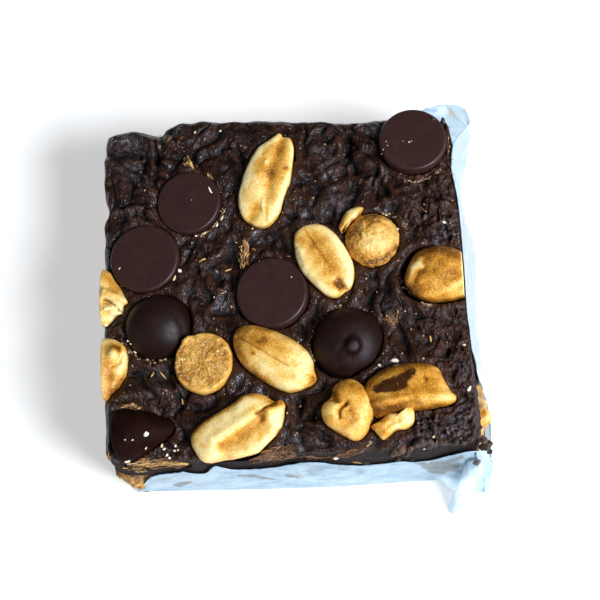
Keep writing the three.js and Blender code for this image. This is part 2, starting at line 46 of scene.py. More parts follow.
PHOTO_SIZE = 600
SENSOR = 36.0
LENS = 110.26
FOCAL_PIXELS = LENS / SENSOR * PHOTO_SIZE
CAMERA_AT = np.array([45.5, -84.3, 306.9])
CAMERA_RIGHT = np.array([0.9879, -0.0203, -0.1537])
CAMERA_UP = np.array([0.0614, 0.9614, 0.2681])
CAMERA_BACK = np.array([0.1423, -0.2743, 0.9511])
PIXELS_PER_MM = 6.13


def add_camera():
    data = bpy.data.cameras.new("camera")
    data.lens = LENS
    data.sensor_width = SENSOR
    data.clip_start = 0.01
    camera = bpy.data.objects.new("camera", data)
    bpy.context.scene.collection.objects.link(camera)
    axes = Matrix([CAMERA_RIGHT, CAMERA_UP, CAMERA_BACK]).transposed()
    camera.rotation_mode = "QUATERNION"
    camera.rotation_quaternion = axes.to_quaternion()
    camera.location = Vector(CAMERA_AT * MM)
    bpy.context.scene.camera = camera


def pixels_of(points):
    """The photo's pixel that shows each point."""
    away = points - CAMERA_AT
    depth = -(away @ CAMERA_BACK)
    middle = PHOTO_SIZE / 2
    across = middle + FOCAL_PIXELS * (away @ CAMERA_RIGHT) / depth
    down = middle - FOCAL_PIXELS * (away @ CAMERA_UP) / depth
    return np.stack([across, down], axis=-1)


def at_heights(pixels, z):
    """The points at heights z that the photo shows at these pixels."""
    middle = PHOTO_SIZE / 2
    across, down = (np.asarray(pixels, float) - middle).T[..., None]
    rays = across * CAMERA_RIGHT - down * CAMERA_UP - FOCAL_PIXELS * CAMERA_BACK
    return CAMERA_AT + rays * ((z - CAMERA_AT[2]) / rays[:, 2])[:, None]


def at_height(pixel, z):
    return at_heights([pixel], z)[0]


# Square and layers, as in the CAD model

TOP = 22.0
LAYER = 12.5
PAPER = 0.35
CORNER_INSET = 0.7
CORNER_REACH = 1.2
CORNERS = {
    "front_left": (-29.8, -27.5), "front_right": (30.7, -27.5),
    "back_right": (28.6, 27.6), "back_left": (-30.4, 29.6),
}
# Each side: its corners, way out, lean and bulges of [place along it, width, size].
SIDES = [
    ("front_left", "front_right", (0, -1), 0.7, [(0.7, 0.12, 0.15), (0.22, 0.05, 0.35)]),
    ("front_right", "back_right", (1, 0), 0.15, [(0.1, 0.05, 0.2), (0.4, 0.08, -0.2), (0.86, 0.08, -0.7)]),
    ("back_right", "back_left", (0, 1), 0.3, [
        (0.2, 0.07, 0.4), (0.38, 0.06, 0.4), (0.57, 0.12, 1.5), (0.72, 0.06, 1.2), (0.79, 0.035, 0.9),
        (0.86, 0.03, -0.75), (0.94, 0.03, 0.2),
    ]),
    ("back_left", "front_left", (-1, 0), 0.3, [(0.24, 0.03, -0.8), (0.55, 0.1, 0.2)]),
]
# Large relief of the fudge: x1, y1, x2, y2, width, size.
FOLDS = [
    (-30.1, 26.1, -15.7, 24.3, 0.9, -1.1), (-29.0, 28.0, -16.0, 26.8, 1.5, 0.5),
    (-20.5, 29.5, -20.3, 26.0, 0.7, -1.1), (-27.2, 15.0, -22.1, 15.3, 0.9, 0.6),
    (11.4, 25.5, 10.6, 19.5, 0.7, -0.9), (13.5, 22.0, 15.8, 19.0, 1.7, 0.7),
    (5.5, 23.5, 9.0, 14.0, 1.0, 0.5), (18.0, 14.0, 26.5, 12.5, 1.0, 0.5),
    (-18.0, 1.5, -11.0, 0.5, 1.0, 0.5), (2.0, -18.5, 6.5, -24.5, 1.0, -0.7),
    (-28.0, -17.0, -18.0, -15.5, 1.1, 0.6),
]
# Where the base stands further out: x, y, width along x, width along y, size.
BASE_PROUD = [(30.7, -24.0, 6.0, 13.0, 0.45), (-29.8, -27.5, 5.0, 5.0, 0.9)]
# Further than any scattered point is from its neighbours, in cells.
FAR = 9.0
TINY = 1e-9


# Repeatable noise: the last argument of each function is its seed

def chance(i, j, seed):
    """A fixed number from 0 to 1 for each pair of whole numbers."""
    value = np.sin(i * 127.1 + j * 311.7 + seed * 74.7) * 43758.5453
    return value - np.floor(value)


def fade(t):
    return t * t * (3 - 2 * t)


def mixed(a, b, share):
    return a + (b - a) * share


def bell(distance, width):
    return np.exp(-((distance / width) ** 2))


def ramp(value, low, high):
    """0 below low, 1 above high, smooth in between. It falls instead where low is the larger."""
    return fade(np.clip((value - low) / (high - low), 0, 1))


def noise(x, y, seed):
    """Smooth noise from -1 to 1 over the plane."""
    i, j = np.floor(x), np.floor(y)
    u, v = fade(x - i), fade(y - j)
    near = mixed(chance(i, j, seed), chance(i + 1, j, seed), u)
    far = mixed(chance(i, j + 1, seed), chance(i + 1, j + 1, seed), u)
    return 2 * mixed(near, far, v) - 1


def swirl(x, y, seed):
    """Gradient noise, about -1 to 1: rounder than plain noise, for folds and creases."""
    i, j = np.floor(x), np.floor(y)
    dx, dy = x - i, y - j
    u, v = fade(dx), fade(dy)

    def corner(di, dj):
        angle = 2 * math.pi * chance(i + di, j + dj, seed)
        return np.cos(angle) * (dx - di) + np.sin(angle) * (dy - dj)

    near = mixed(corner(0, 0), corner(1, 0), u)
    far = mixed(corner(0, 1), corner(1, 1), u)
    return 1.5 * mixed(near, far, v)


def solid_noise(points, size, seed):
    """Smooth noise from -1 to 1 through space."""
    cell = np.floor(points / size)
    u = fade(points / size - cell)
    total = 0
    for corner in range(8):
        step = np.array([corner & 1, corner >> 1 & 1, corner >> 2 & 1])
        weight = np.prod(np.where(step == 1, u, 1 - u), axis=-1)
        i, j, k = np.moveaxis(cell + step, -1, 0)
        total = total + weight * chance(i, j, seed + 1.37 * k)
    return 2 * total - 1


def cells(x, y, seed):
    """Distance to the nearest and the next scattered point, and the nearest one's own number."""
    i, j = np.floor(x), np.floor(y)
    first = np.full(np.shape(x), FAR)
    second = first.copy()
    own = np.zeros_like(first)
    for di in (-1, 0, 1):
        for dj in (-1, 0, 1):
            ci, cj = i + di, j + dj
            px = ci + chance(ci, cj, seed)
            py = cj + chance(ci, cj, seed + 0.5)
            distance = np.hypot(px - x, py - y)
            closer = distance < first
            second = np.where(closer, first, np.minimum(second, distance))
            own = np.where(closer, chance(ci, cj, seed + 0.25), own)
            first = np.where(closer, distance, first)
    return first, second, own


# Marks: strokes and spots given by the photo's pixels, with widths in millimetres

def stroke_distance(pixels, stroke):
    """Distance in millimetres on the photo from each pixel to a line through the stroke's points."""
    line = np.asarray(stroke, float)
    if len(line) == 1:
        return np.hypot(*(pixels - line[0]).T).T / PIXELS_PER_MM
    nearest = np.full(pixels.shape[:-1], 1e9)
    for a, b in zip(line[:-1], line[1:]):
        along = b - a
        share = np.clip((pixels - a) @ along / (along @ along), 0, 1)
        gap = pixels - (a + share[..., None] * along)
        nearest = np.minimum(nearest, np.hypot(gap[..., 0], gap[..., 1]))
    return nearest / PIXELS_PER_MM


def add_marks(points, marks, values, facing=1.0):
    """Adds each mark's amount to its value: {value: [(stroke, width, amount)]}."""
    pixels = pixels_of(points)
    for name, rows in marks.items():
        for stroke, width, amount in rows:
            added = amount * bell(stroke_distance(pixels, stroke), width) * facing
            values[name] = values.get(name, 0) + added
    return values


# Meshes

def normals_of(points, faces):
    total = np.zeros_like(points)
    for block in faces:
        corners = points[block]
        across = corners[:, 2] - corners[:, 0]
        if block.shape[1] == 4:
            normal = np.cross(across, corners[:, 3] - corners[:, 1])
        else:
            normal = np.cross(corners[:, 1] - corners[:, 0], across)
        for column in block.T:
            np.add.at(total, column, normal)
    return total / np.maximum(np.linalg.norm(total, axis=1, keepdims=True), 1e-12)


def joined(parts):
    """One mesh from several (points, faces, values)."""
    points = np.concatenate([part[0] for part in parts])
    faces = []
    start = 0
    for part in parts:
        faces += [block + start for block in part[1]]
        start += len(part[0])
    names = sorted(set(name for part in parts for name in part[2]))
    values = {
        name: np.concatenate([np.broadcast_to(part[2].get(name, 0.0), len(part[0])) for part in parts])
        for name in names
    }
    return points, faces, values


def add_piece(name, mesh_parts, material, nodes=()):
    """A piece that rides on the brownie: points in mm, blocks of triangles or quads, and values."""
    points, faces, values = mesh_parts
    mesh = bpy.data.meshes.new(name)
    mesh.vertices.add(len(points))
    mesh.vertices.foreach_set("co", (points * MM).astype(np.float32).ravel())
    corner_list = np.concatenate([block.ravel() for block in faces]).astype(np.int32)
    sizes = np.concatenate([np.full(len(block), block.shape[1]) for block in faces]).astype(np.int32)
    starts = (np.cumsum(sizes) - sizes).astype(np.int32)
    mesh.loops.add(len(corner_list))
    mesh.loops.foreach_set("vertex_index", corner_list)
    mesh.polygons.add(len(sizes))
    mesh.polygons.foreach_set("loop_start", starts)
    mesh.polygons.foreach_set("loop_total", sizes)
    mesh.polygons.foreach_set("use_smooth", np.ones(len(sizes), bool))
    mesh.update(calc_edges=True)
    mesh.validate()
    for key, value in values.items():
        layer = mesh.attributes.new(key, "FLOAT", "POINT")
        layer.data.foreach_set("value", np.broadcast_to(value, len(points)).astype(np.float32).copy())
    mesh.materials.append(material)
    made = bpy.data.objects.new(name, mesh)
    bpy.context.scene.collection.objects.link(made)
    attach(made, "root")
    if nodes:
        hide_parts(*nodes)


def grid_faces(rows, columns, start=0, wrap=False):
    """Quads of a grid stored row by row. With wrap, its last column joins the first."""
    i, j = np.meshgrid(np.arange(rows - 1), np.arange(columns if wrap else columns - 1), indexing="ij")
    following = (j + 1) % columns
    a = i * columns + j
    b = i * columns + following
    c = (i + 1) * columns + following
    d = (i + 1) * columns + j
    return start + np.stack([a, b, c, d], axis=-1).reshape(-1, 4)


def fan_faces(centre, ring, flip=False):
    following = np.roll(ring, -1)
    first, last = (following, ring) if flip else (ring, following)
    return np.stack([np.full(len(ring), centre), first, last], axis=-1)


def cube_sphere(steps):
    """Unit directions and quads of a cube blown up to a ball."""
    line = np.tan(np.linspace(-1, 1, steps + 1) * math.pi / 4)
    a, b = np.meshgrid(line, line, indexing="ij")
    one = np.ones_like(a)
    sides = [(one, a, b), (-one, b, a), (b, one, a), (a, -one, b), (a, b, one), (b, a, -one)]
    loose = np.concatenate([np.stack(side, axis=-1).reshape(-1, 3) for side in sides])
    loose /= np.linalg.norm(loose, axis=1, keepdims=True)
    size = (steps + 1) ** 2
    quads = np.concatenate([
        grid_faces(steps + 1, steps + 1, start=k * size)[:, ::-1] for k in range(len(sides))
    ])
    whole = np.round(loose * 1e5).astype(int)
    _, kept, where = np.unique(whole, axis=0, return_index=True, return_inverse=True)
    return loose[kept], where.ravel()[quads]


def spline(controls, t):
    """A centripetal Catmull-Rom curve through the controls, for t from 0 to 1."""
    points = np.asarray(controls, float)
    padded = np.concatenate([[2 * points[0] - points[1]], points, [2 * points[-1] - points[-2]]])
    last = len(points) - 1
    place = np.clip(np.asarray(t, float), 0, 1) * last
    segment = np.minimum(np.floor(place).astype(int), last - 1)
    w = (place - segment)[:, None]
    p0, p1, p2, p3 = (padded[segment + k] for k in range(4))
    d0, d1, d2 = (
        np.maximum(np.sqrt(np.linalg.norm(b - a, axis=1, keepdims=True)), 1e-4)
        for a, b in ((p0, p1), (p1, p2), (p2, p3))
    )
    start = ((p1 - p0) / d0 - (p2 - p0) / (d0 + d1) + (p2 - p1) / d1) * d1
    end = ((p2 - p1) / d1 - (p3 - p1) / (d1 + d2) + (p3 - p2) / d2) * d1
    square = -3 * p1 + 3 * p2 - 2 * start - end
    cube = 2 * p1 - 2 * p2 + start + end
    return p1 + start * w + square * w ** 2 + cube * w ** 3


# Outline of the square

def make_sides():
    corners = {name: np.array(at) for name, at in CORNERS.items()}
    made = []
    for k, (start, end, normal, lean, bulges) in enumerate(SIDES):
        out = np.array(normal, float)
        before = np.array(SIDES[k - 1][2], float)
        after = np.array(SIDES[(k + 1) % 4][2], float)
        made.append({
            "start": corners[start] - CORNER_INSET * (out + before),
            "end": corners[end] - CORNER_INSET * (out + after),
            "normal": out, "lean": lean, "bulges": bulges,
            "corner_normal": (out + before) / math.sqrt(2),
        })
    return made


FRONT, RIGHT, BACK, LEFT = make_sides()


def side_length(side):
    return float(np.linalg.norm(side["end"] - side["start"]))


def side_offset(side, share):
    to_end = np.minimum(share, 1 - share) * side_length(side)
    offset = CORNER_INSET * (1 - np.exp(-np.maximum(to_end, 0) / CORNER_REACH))
    for at, width, size in side["bulges"]:
        offset = offset + size * bell(share - at, width)
    return offset


def side_points(side, share):
    line = side["start"] + share[:, None] * (side["end"] - side["start"])
    return line + side_offset(side, share)[:, None] * side["normal"]


def outside_of(side, x, y):
    """How far a point stands out of one cut side."""
    along = side["end"] - side["start"]
    share = ((x - side["start"][0]) * along[0] + (y - side["start"][1]) * along[1]) / (along @ along)
    share = np.clip(share, 0, 1)
    line_x = side["start"][0] + share * along[0]
    line_y = side["start"][1] + share * along[1]
    out = (x - line_x) * side["normal"][0] + (y - line_y) * side["normal"][1]
    return out - side_offset(side, share)


def depth_inside(x, y):
    """Distance in from the nearest cut side, negative outside the square."""
    return -np.max([outside_of(side, x, y) for side in (FRONT, RIGHT, BACK, LEFT)], axis=0)


# Toppings

# A baking chip, foot to tip: share of the radius, share of the height.
FLAT_CURVE = [
    (0, 0.004), (0.5, 0.002), (0.85, 0.0), (0.925, 0.004), (0.96, 0.025), (0.985, 0.075), (0.998, 0.15),
    (0.99, 0.25), (0.955, 0.36), (0.86, 0.49), (0.7, 0.61), (0.5, 0.72), (0.3, 0.8), (0.2, 0.88), (0, 0.95),
]
DROP_CURVE = [
    (0, 0.0), (0.45, 0.0), (0.8, 0.0), (0.9, 0.02), (0.965, 0.08), (1.0, 0.19), (0.985, 0.31), (0.91, 0.46),
    (0.78, 0.6), (0.6, 0.715), (0.42, 0.785), (0.3, 0.825), (0.235, 0.865), (0.205, 0.915), (0.18, 0.965),
    (0.1, 0.995), (0, 1.0),
]
# A worn drop with a broad, flattened tip.
WORN_CURVE = [
    (0, 0.0), (0.4, 0.0), (0.8, 0.0), (0.9, 0.02), (0.965, 0.08), (1.0, 0.2), (0.985, 0.34), (0.92, 0.48),
    (0.8, 0.61), (0.66, 0.71), (0.53, 0.775), (0.42, 0.82), (0.32, 0.85), (0.22, 0.87), (0.11, 0.88),
    (0, 0.885),
]
# A stubby cone.
CONE_CURVE = [
    (0, 0.0), (0.5, 0.0), (0.84, 0.0), (0.92, 0.012), (0.975, 0.045), (1.0, 0.1), (0.985, 0.18),
    (0.93, 0.31), (0.82, 0.47), (0.67, 0.63), (0.52, 0.76), (0.38, 0.87), (0.25, 0.945), (0.12, 0.99),
    (0, 1.0),
]
DOME_CURVE = [
    (0, 0), (0.5, 0), (0.86, 0), (0.95, 0.06), (1.0, 0.2), (1.0, 0.34), (0.95, 0.5), (0.87, 0.63),
    (0.74, 0.76), (0.55, 0.88), (0.34, 0.96), (0.16, 0.995), (0, 1.0),
]
CHIP_SEGMENTS = 120
CHIP_RINGS = 60

CHIPS = [
    {"name": "chip_flat_1", "at": (-15.5, 15.8, 22.9), "diameter": 11.0, "height": 6.4, "foot_up": True},
    {"name": "chip_flat_2", "at": (-23.0, 6.5, 23.0), "diameter": 11.8, "height": 6.6, "foot_up": True},
    {"name": "chip_flat_3", "at": (-1.7, -0.7, 22.9), "diameter": 12.1, "height": 6.6, "foot_up": True},
    {
        "name": "chip_flat_4", "at": (22.4, 23.7, 23.7), "tip": (5, 5), "diameter": 11.3, "height": 6.4,
        "foot_up": True,
    },
    {
        "name": "chip_tip_1", "at": (-21.6, -4.9, 19.5), "tip": (-17, 30), "diameter": 11.4, "height": 6.8,
        "curve": WORN_CURVE, "bend": (1.5, 0.2),
    },
    {
        "name": "chip_tip_2", "at": (10.35, -9.45, 19.8), "tip": (-16.8, 13.6), "diameter": 11.9,
        "height": 6.2, "curve": DROP_CURVE,
    },
    {
        "name": "chip_tip_3", "at": (-27.8, -23.3, 21.0), "turn": 7, "tip": (0, 87), "diameter": 8.8,
        "height": 9.8, "curve": CONE_CURVE,
    },
]
BUTTER_CHIPS = [
    {
        "name": "peanut_butter_chip_1", "at": (-13.05, -11.95, 23.6), "tip": (4, 0), "diameter": 10.0,
        "stretch": (0.965, 1.035), "height": 6.2, "foot_up": True, "toast": 0.36,
    },
    {
        "name": "peanut_butter_chip_2", "at": (15.0, 7.3, 20.6), "diameter": 8.8, "height": 4.2,
        "curve": DOME_CURVE,
    },
]
# Peanuts: the outline is in the photo's pixels, z is the height of the widest line, top and bottom
# are the heights over and under it, and a low flat makes a blunter back. The cut ones are sliced by
# a side, and keep is a point inside what is left.
PEANUTS = [
    {
        "name": "peanut_half_back", "z": 22.6, "top": 1.7, "bottom": 3.4, "flat": 0.5, "toast": 0.22,
        "outline": [
            (280, 134.5), (283.5, 138.5), (290.5, 140), (293, 152), (291, 173), (284, 198), (275, 219),
            (266, 227), (256, 227), (242.5, 217), (239, 203), (243, 182), (249, 165), (259, 149),
            (272, 139.5),
        ],
    },
    {
        "name": "peanut_half_middle", "z": 22.7, "top": 1.7, "bottom": 3.4, "flat": 0.55, "toast": 0.2,
        "outline": [
            (303, 227.5), (314, 224.5), (325, 226.5), (335, 233.5), (344.5, 246.5), (352, 262),
            (353.5, 277), (350, 288), (344.5, 291), (337, 297.3), (327, 296), (312, 283.5), (300, 268.5),
            (294.5, 250), (296, 235),
        ],
    },
    {
        "name": "peanut_whole", "z": 22.6, "top": 3.1, "bottom": 3.6, "toast": 0.3,
        "outline": [
            (233.8, 338), (239, 328.5), (248, 325.3), (263, 328), (282.5, 334.8), (304, 347.5),
            (312.5, 359), (314, 369), (316, 380), (310, 385.7), (297, 391), (287.5, 392.3), (273, 387),
            (255.5, 376), (242.5, 364.5), (235.5, 351),
        ],
    },
    {
        "name": "peanut_half_front", "z": 22.5, "top": 2.8, "bottom": 3.5, "flat": 0.6, "toast": 0.2,
        "outline": [
            (284.5, 403.6), (274.5, 401.6), (264, 396), (254, 393.8), (243.5, 396.5), (234, 404),
            (215.5, 415.2), (202, 424.5), (193, 435.5), (192, 444), (195, 452), (201.5, 461),
            (209, 462.8), (224, 459.4), (244, 456), (256, 452.4), (269, 440.6), (281, 428.6),
            (283.6, 417),
        ],
    },
    {
        "name": "peanut_curled", "z": 22.7, "top": 3.2, "bottom": 3.4, "toast": 0.42,
        "outline": [
            (350.5, 379.5), (359.5, 383), (367.5, 393), (372, 404), (372.6, 416), (368.5, 430),
            (361, 439), (353.5, 440.6), (345.5, 437.5), (334, 430.5), (324.5, 420.5), (321.8, 412),
            (325, 404.8), (331.8, 398), (334, 388.5), (340.5, 382.3),
        ],
    },
    {
        "name": "peanut_glazed", "z": 22.6, "top": 3.2, "bottom": 3.6, "flat": 0.7, "toast": 0.6,
        "outline": [
            (366, 385), (375.5, 375.5), (391.5, 367), (410, 364), (429, 364.8), (438.5, 369),
            (444, 379.5), (449.5, 389), (455, 398.5), (450, 404), (436, 407.7), (408, 411.7),
            (389, 415.7), (377, 418), (368.5, 402),
        ],
    },
    {
        "name": "peanut_crescent", "z": 22.7, "top": 1.7, "bottom": 2.0, "flat": 0.65, "toast": 0.28,
        "steps": 32,
        "outline": [
            (371.5, 427), (381, 421.2), (388, 414.4), (394.5, 414), (402, 413), (408.5, 406.6),
            (413.8, 411), (413.8, 422), (407, 429), (396.8, 430.5), (391.4, 433.4), (383.4, 439.4),
            (379, 435.6), (375, 431.6),
        ],
    },
    {
        "name": "peanut_sliver", "z": 22.6, "top": 1.5, "bottom": 1.9, "flat": 0.6, "toast": 0.26,
        "steps": 26,
        "outline": [
            (339.6, 229.5), (341.9, 221.5), (347, 212.2), (355.3, 207.8), (363.5, 208.6), (358.8, 213.6),
            (356, 218.8), (351, 221.4), (347, 228.3), (343.2, 234),
        ],
    },
    {
        "name": "peanut_cut_right", "z": 22.1, "top": 2.8, "bottom": 4.0, "toast": 0.7, "side": "right",
        "keep": (26.0, 0.6, 21.5),
        "outline": [
            (405, 278), (409, 265.7), (416, 254), (429, 248.2), (442, 246.8), (456, 249.4), (468, 258),
            (472, 275), (468, 293), (454, 299.4), (436, 301.3), (422, 300.3), (413, 295.2),
            (406.6, 286.5),
        ],
    },
    {
        "name": "peanut_cut_left_back", "z": 21.9, "top": 2.3, "bottom": 3.6, "toast": 0.3,
        "side": "left", "keep": (-28.8, -0.2, 21.2),
        "outline": [
            (90, 270), (103, 269.7), (110, 273.5), (115.5, 283), (122, 292.5), (124.6, 300), (123.4, 306),
            (124, 313), (116.5, 315.5), (112, 320.5), (106, 326), (92, 328), (84, 300),
        ],
    },
    {
        "name": "peanut_cut_left_front", "z": 21.9, "top": 2.4, "bottom": 3.6, "toast": 0.28,
        "side": "left", "keep": (-28.8, -12.4, 21.0),
        "outline": [
            (88, 342), (101.7, 339.5), (111, 338.7), (119, 341.8), (125.3, 347), (128, 355), (127.3, 366),
            (122, 380.5), (116.4, 391), (107, 400.5), (92, 402), (84, 372),
        ],
    },
    {
        "name": "peanut_cut_front", "z": 19.2, "top": 1.6, "bottom": 2.2, "toast": 0.85, "side": "front",
        "keep": (-21.6, -26.2, 18.9), "at": (-21.6, -28.0), "turn": 3, "length": 10.5, "width": 7.0,
        "steps": 30,
    },
    {
        "name": "peanut_side_chunk", "z": 13.2, "top": 1.8, "bottom": 1.8, "toast": 0.5, "steps": 24,
        "at": (30.0, -21.4), "turn": 4, "length": 5.4, "width": 3.6,
    },
]
PEANUT_STEPS = 46
OUTLINE_BINS = 360
USUAL_BACK = 0.8
CUT_DEPTH = 0.05
CUT_HALVINGS = 24
USUAL_TOAST = 0.3
CUT_TOAST = 0.16
# Unevenness of each kind's skin, in mm.
CHIP_WOBBLE = 0.035
BUTTER_WOBBLE = 0.1
PEANUT_WOBBLE = 0.12
# A butter chip's grains: their height in mm, and how grainy its domed side is.
GRAIN_RELIEF = 0.2
DOME_ROUGH = 0.6

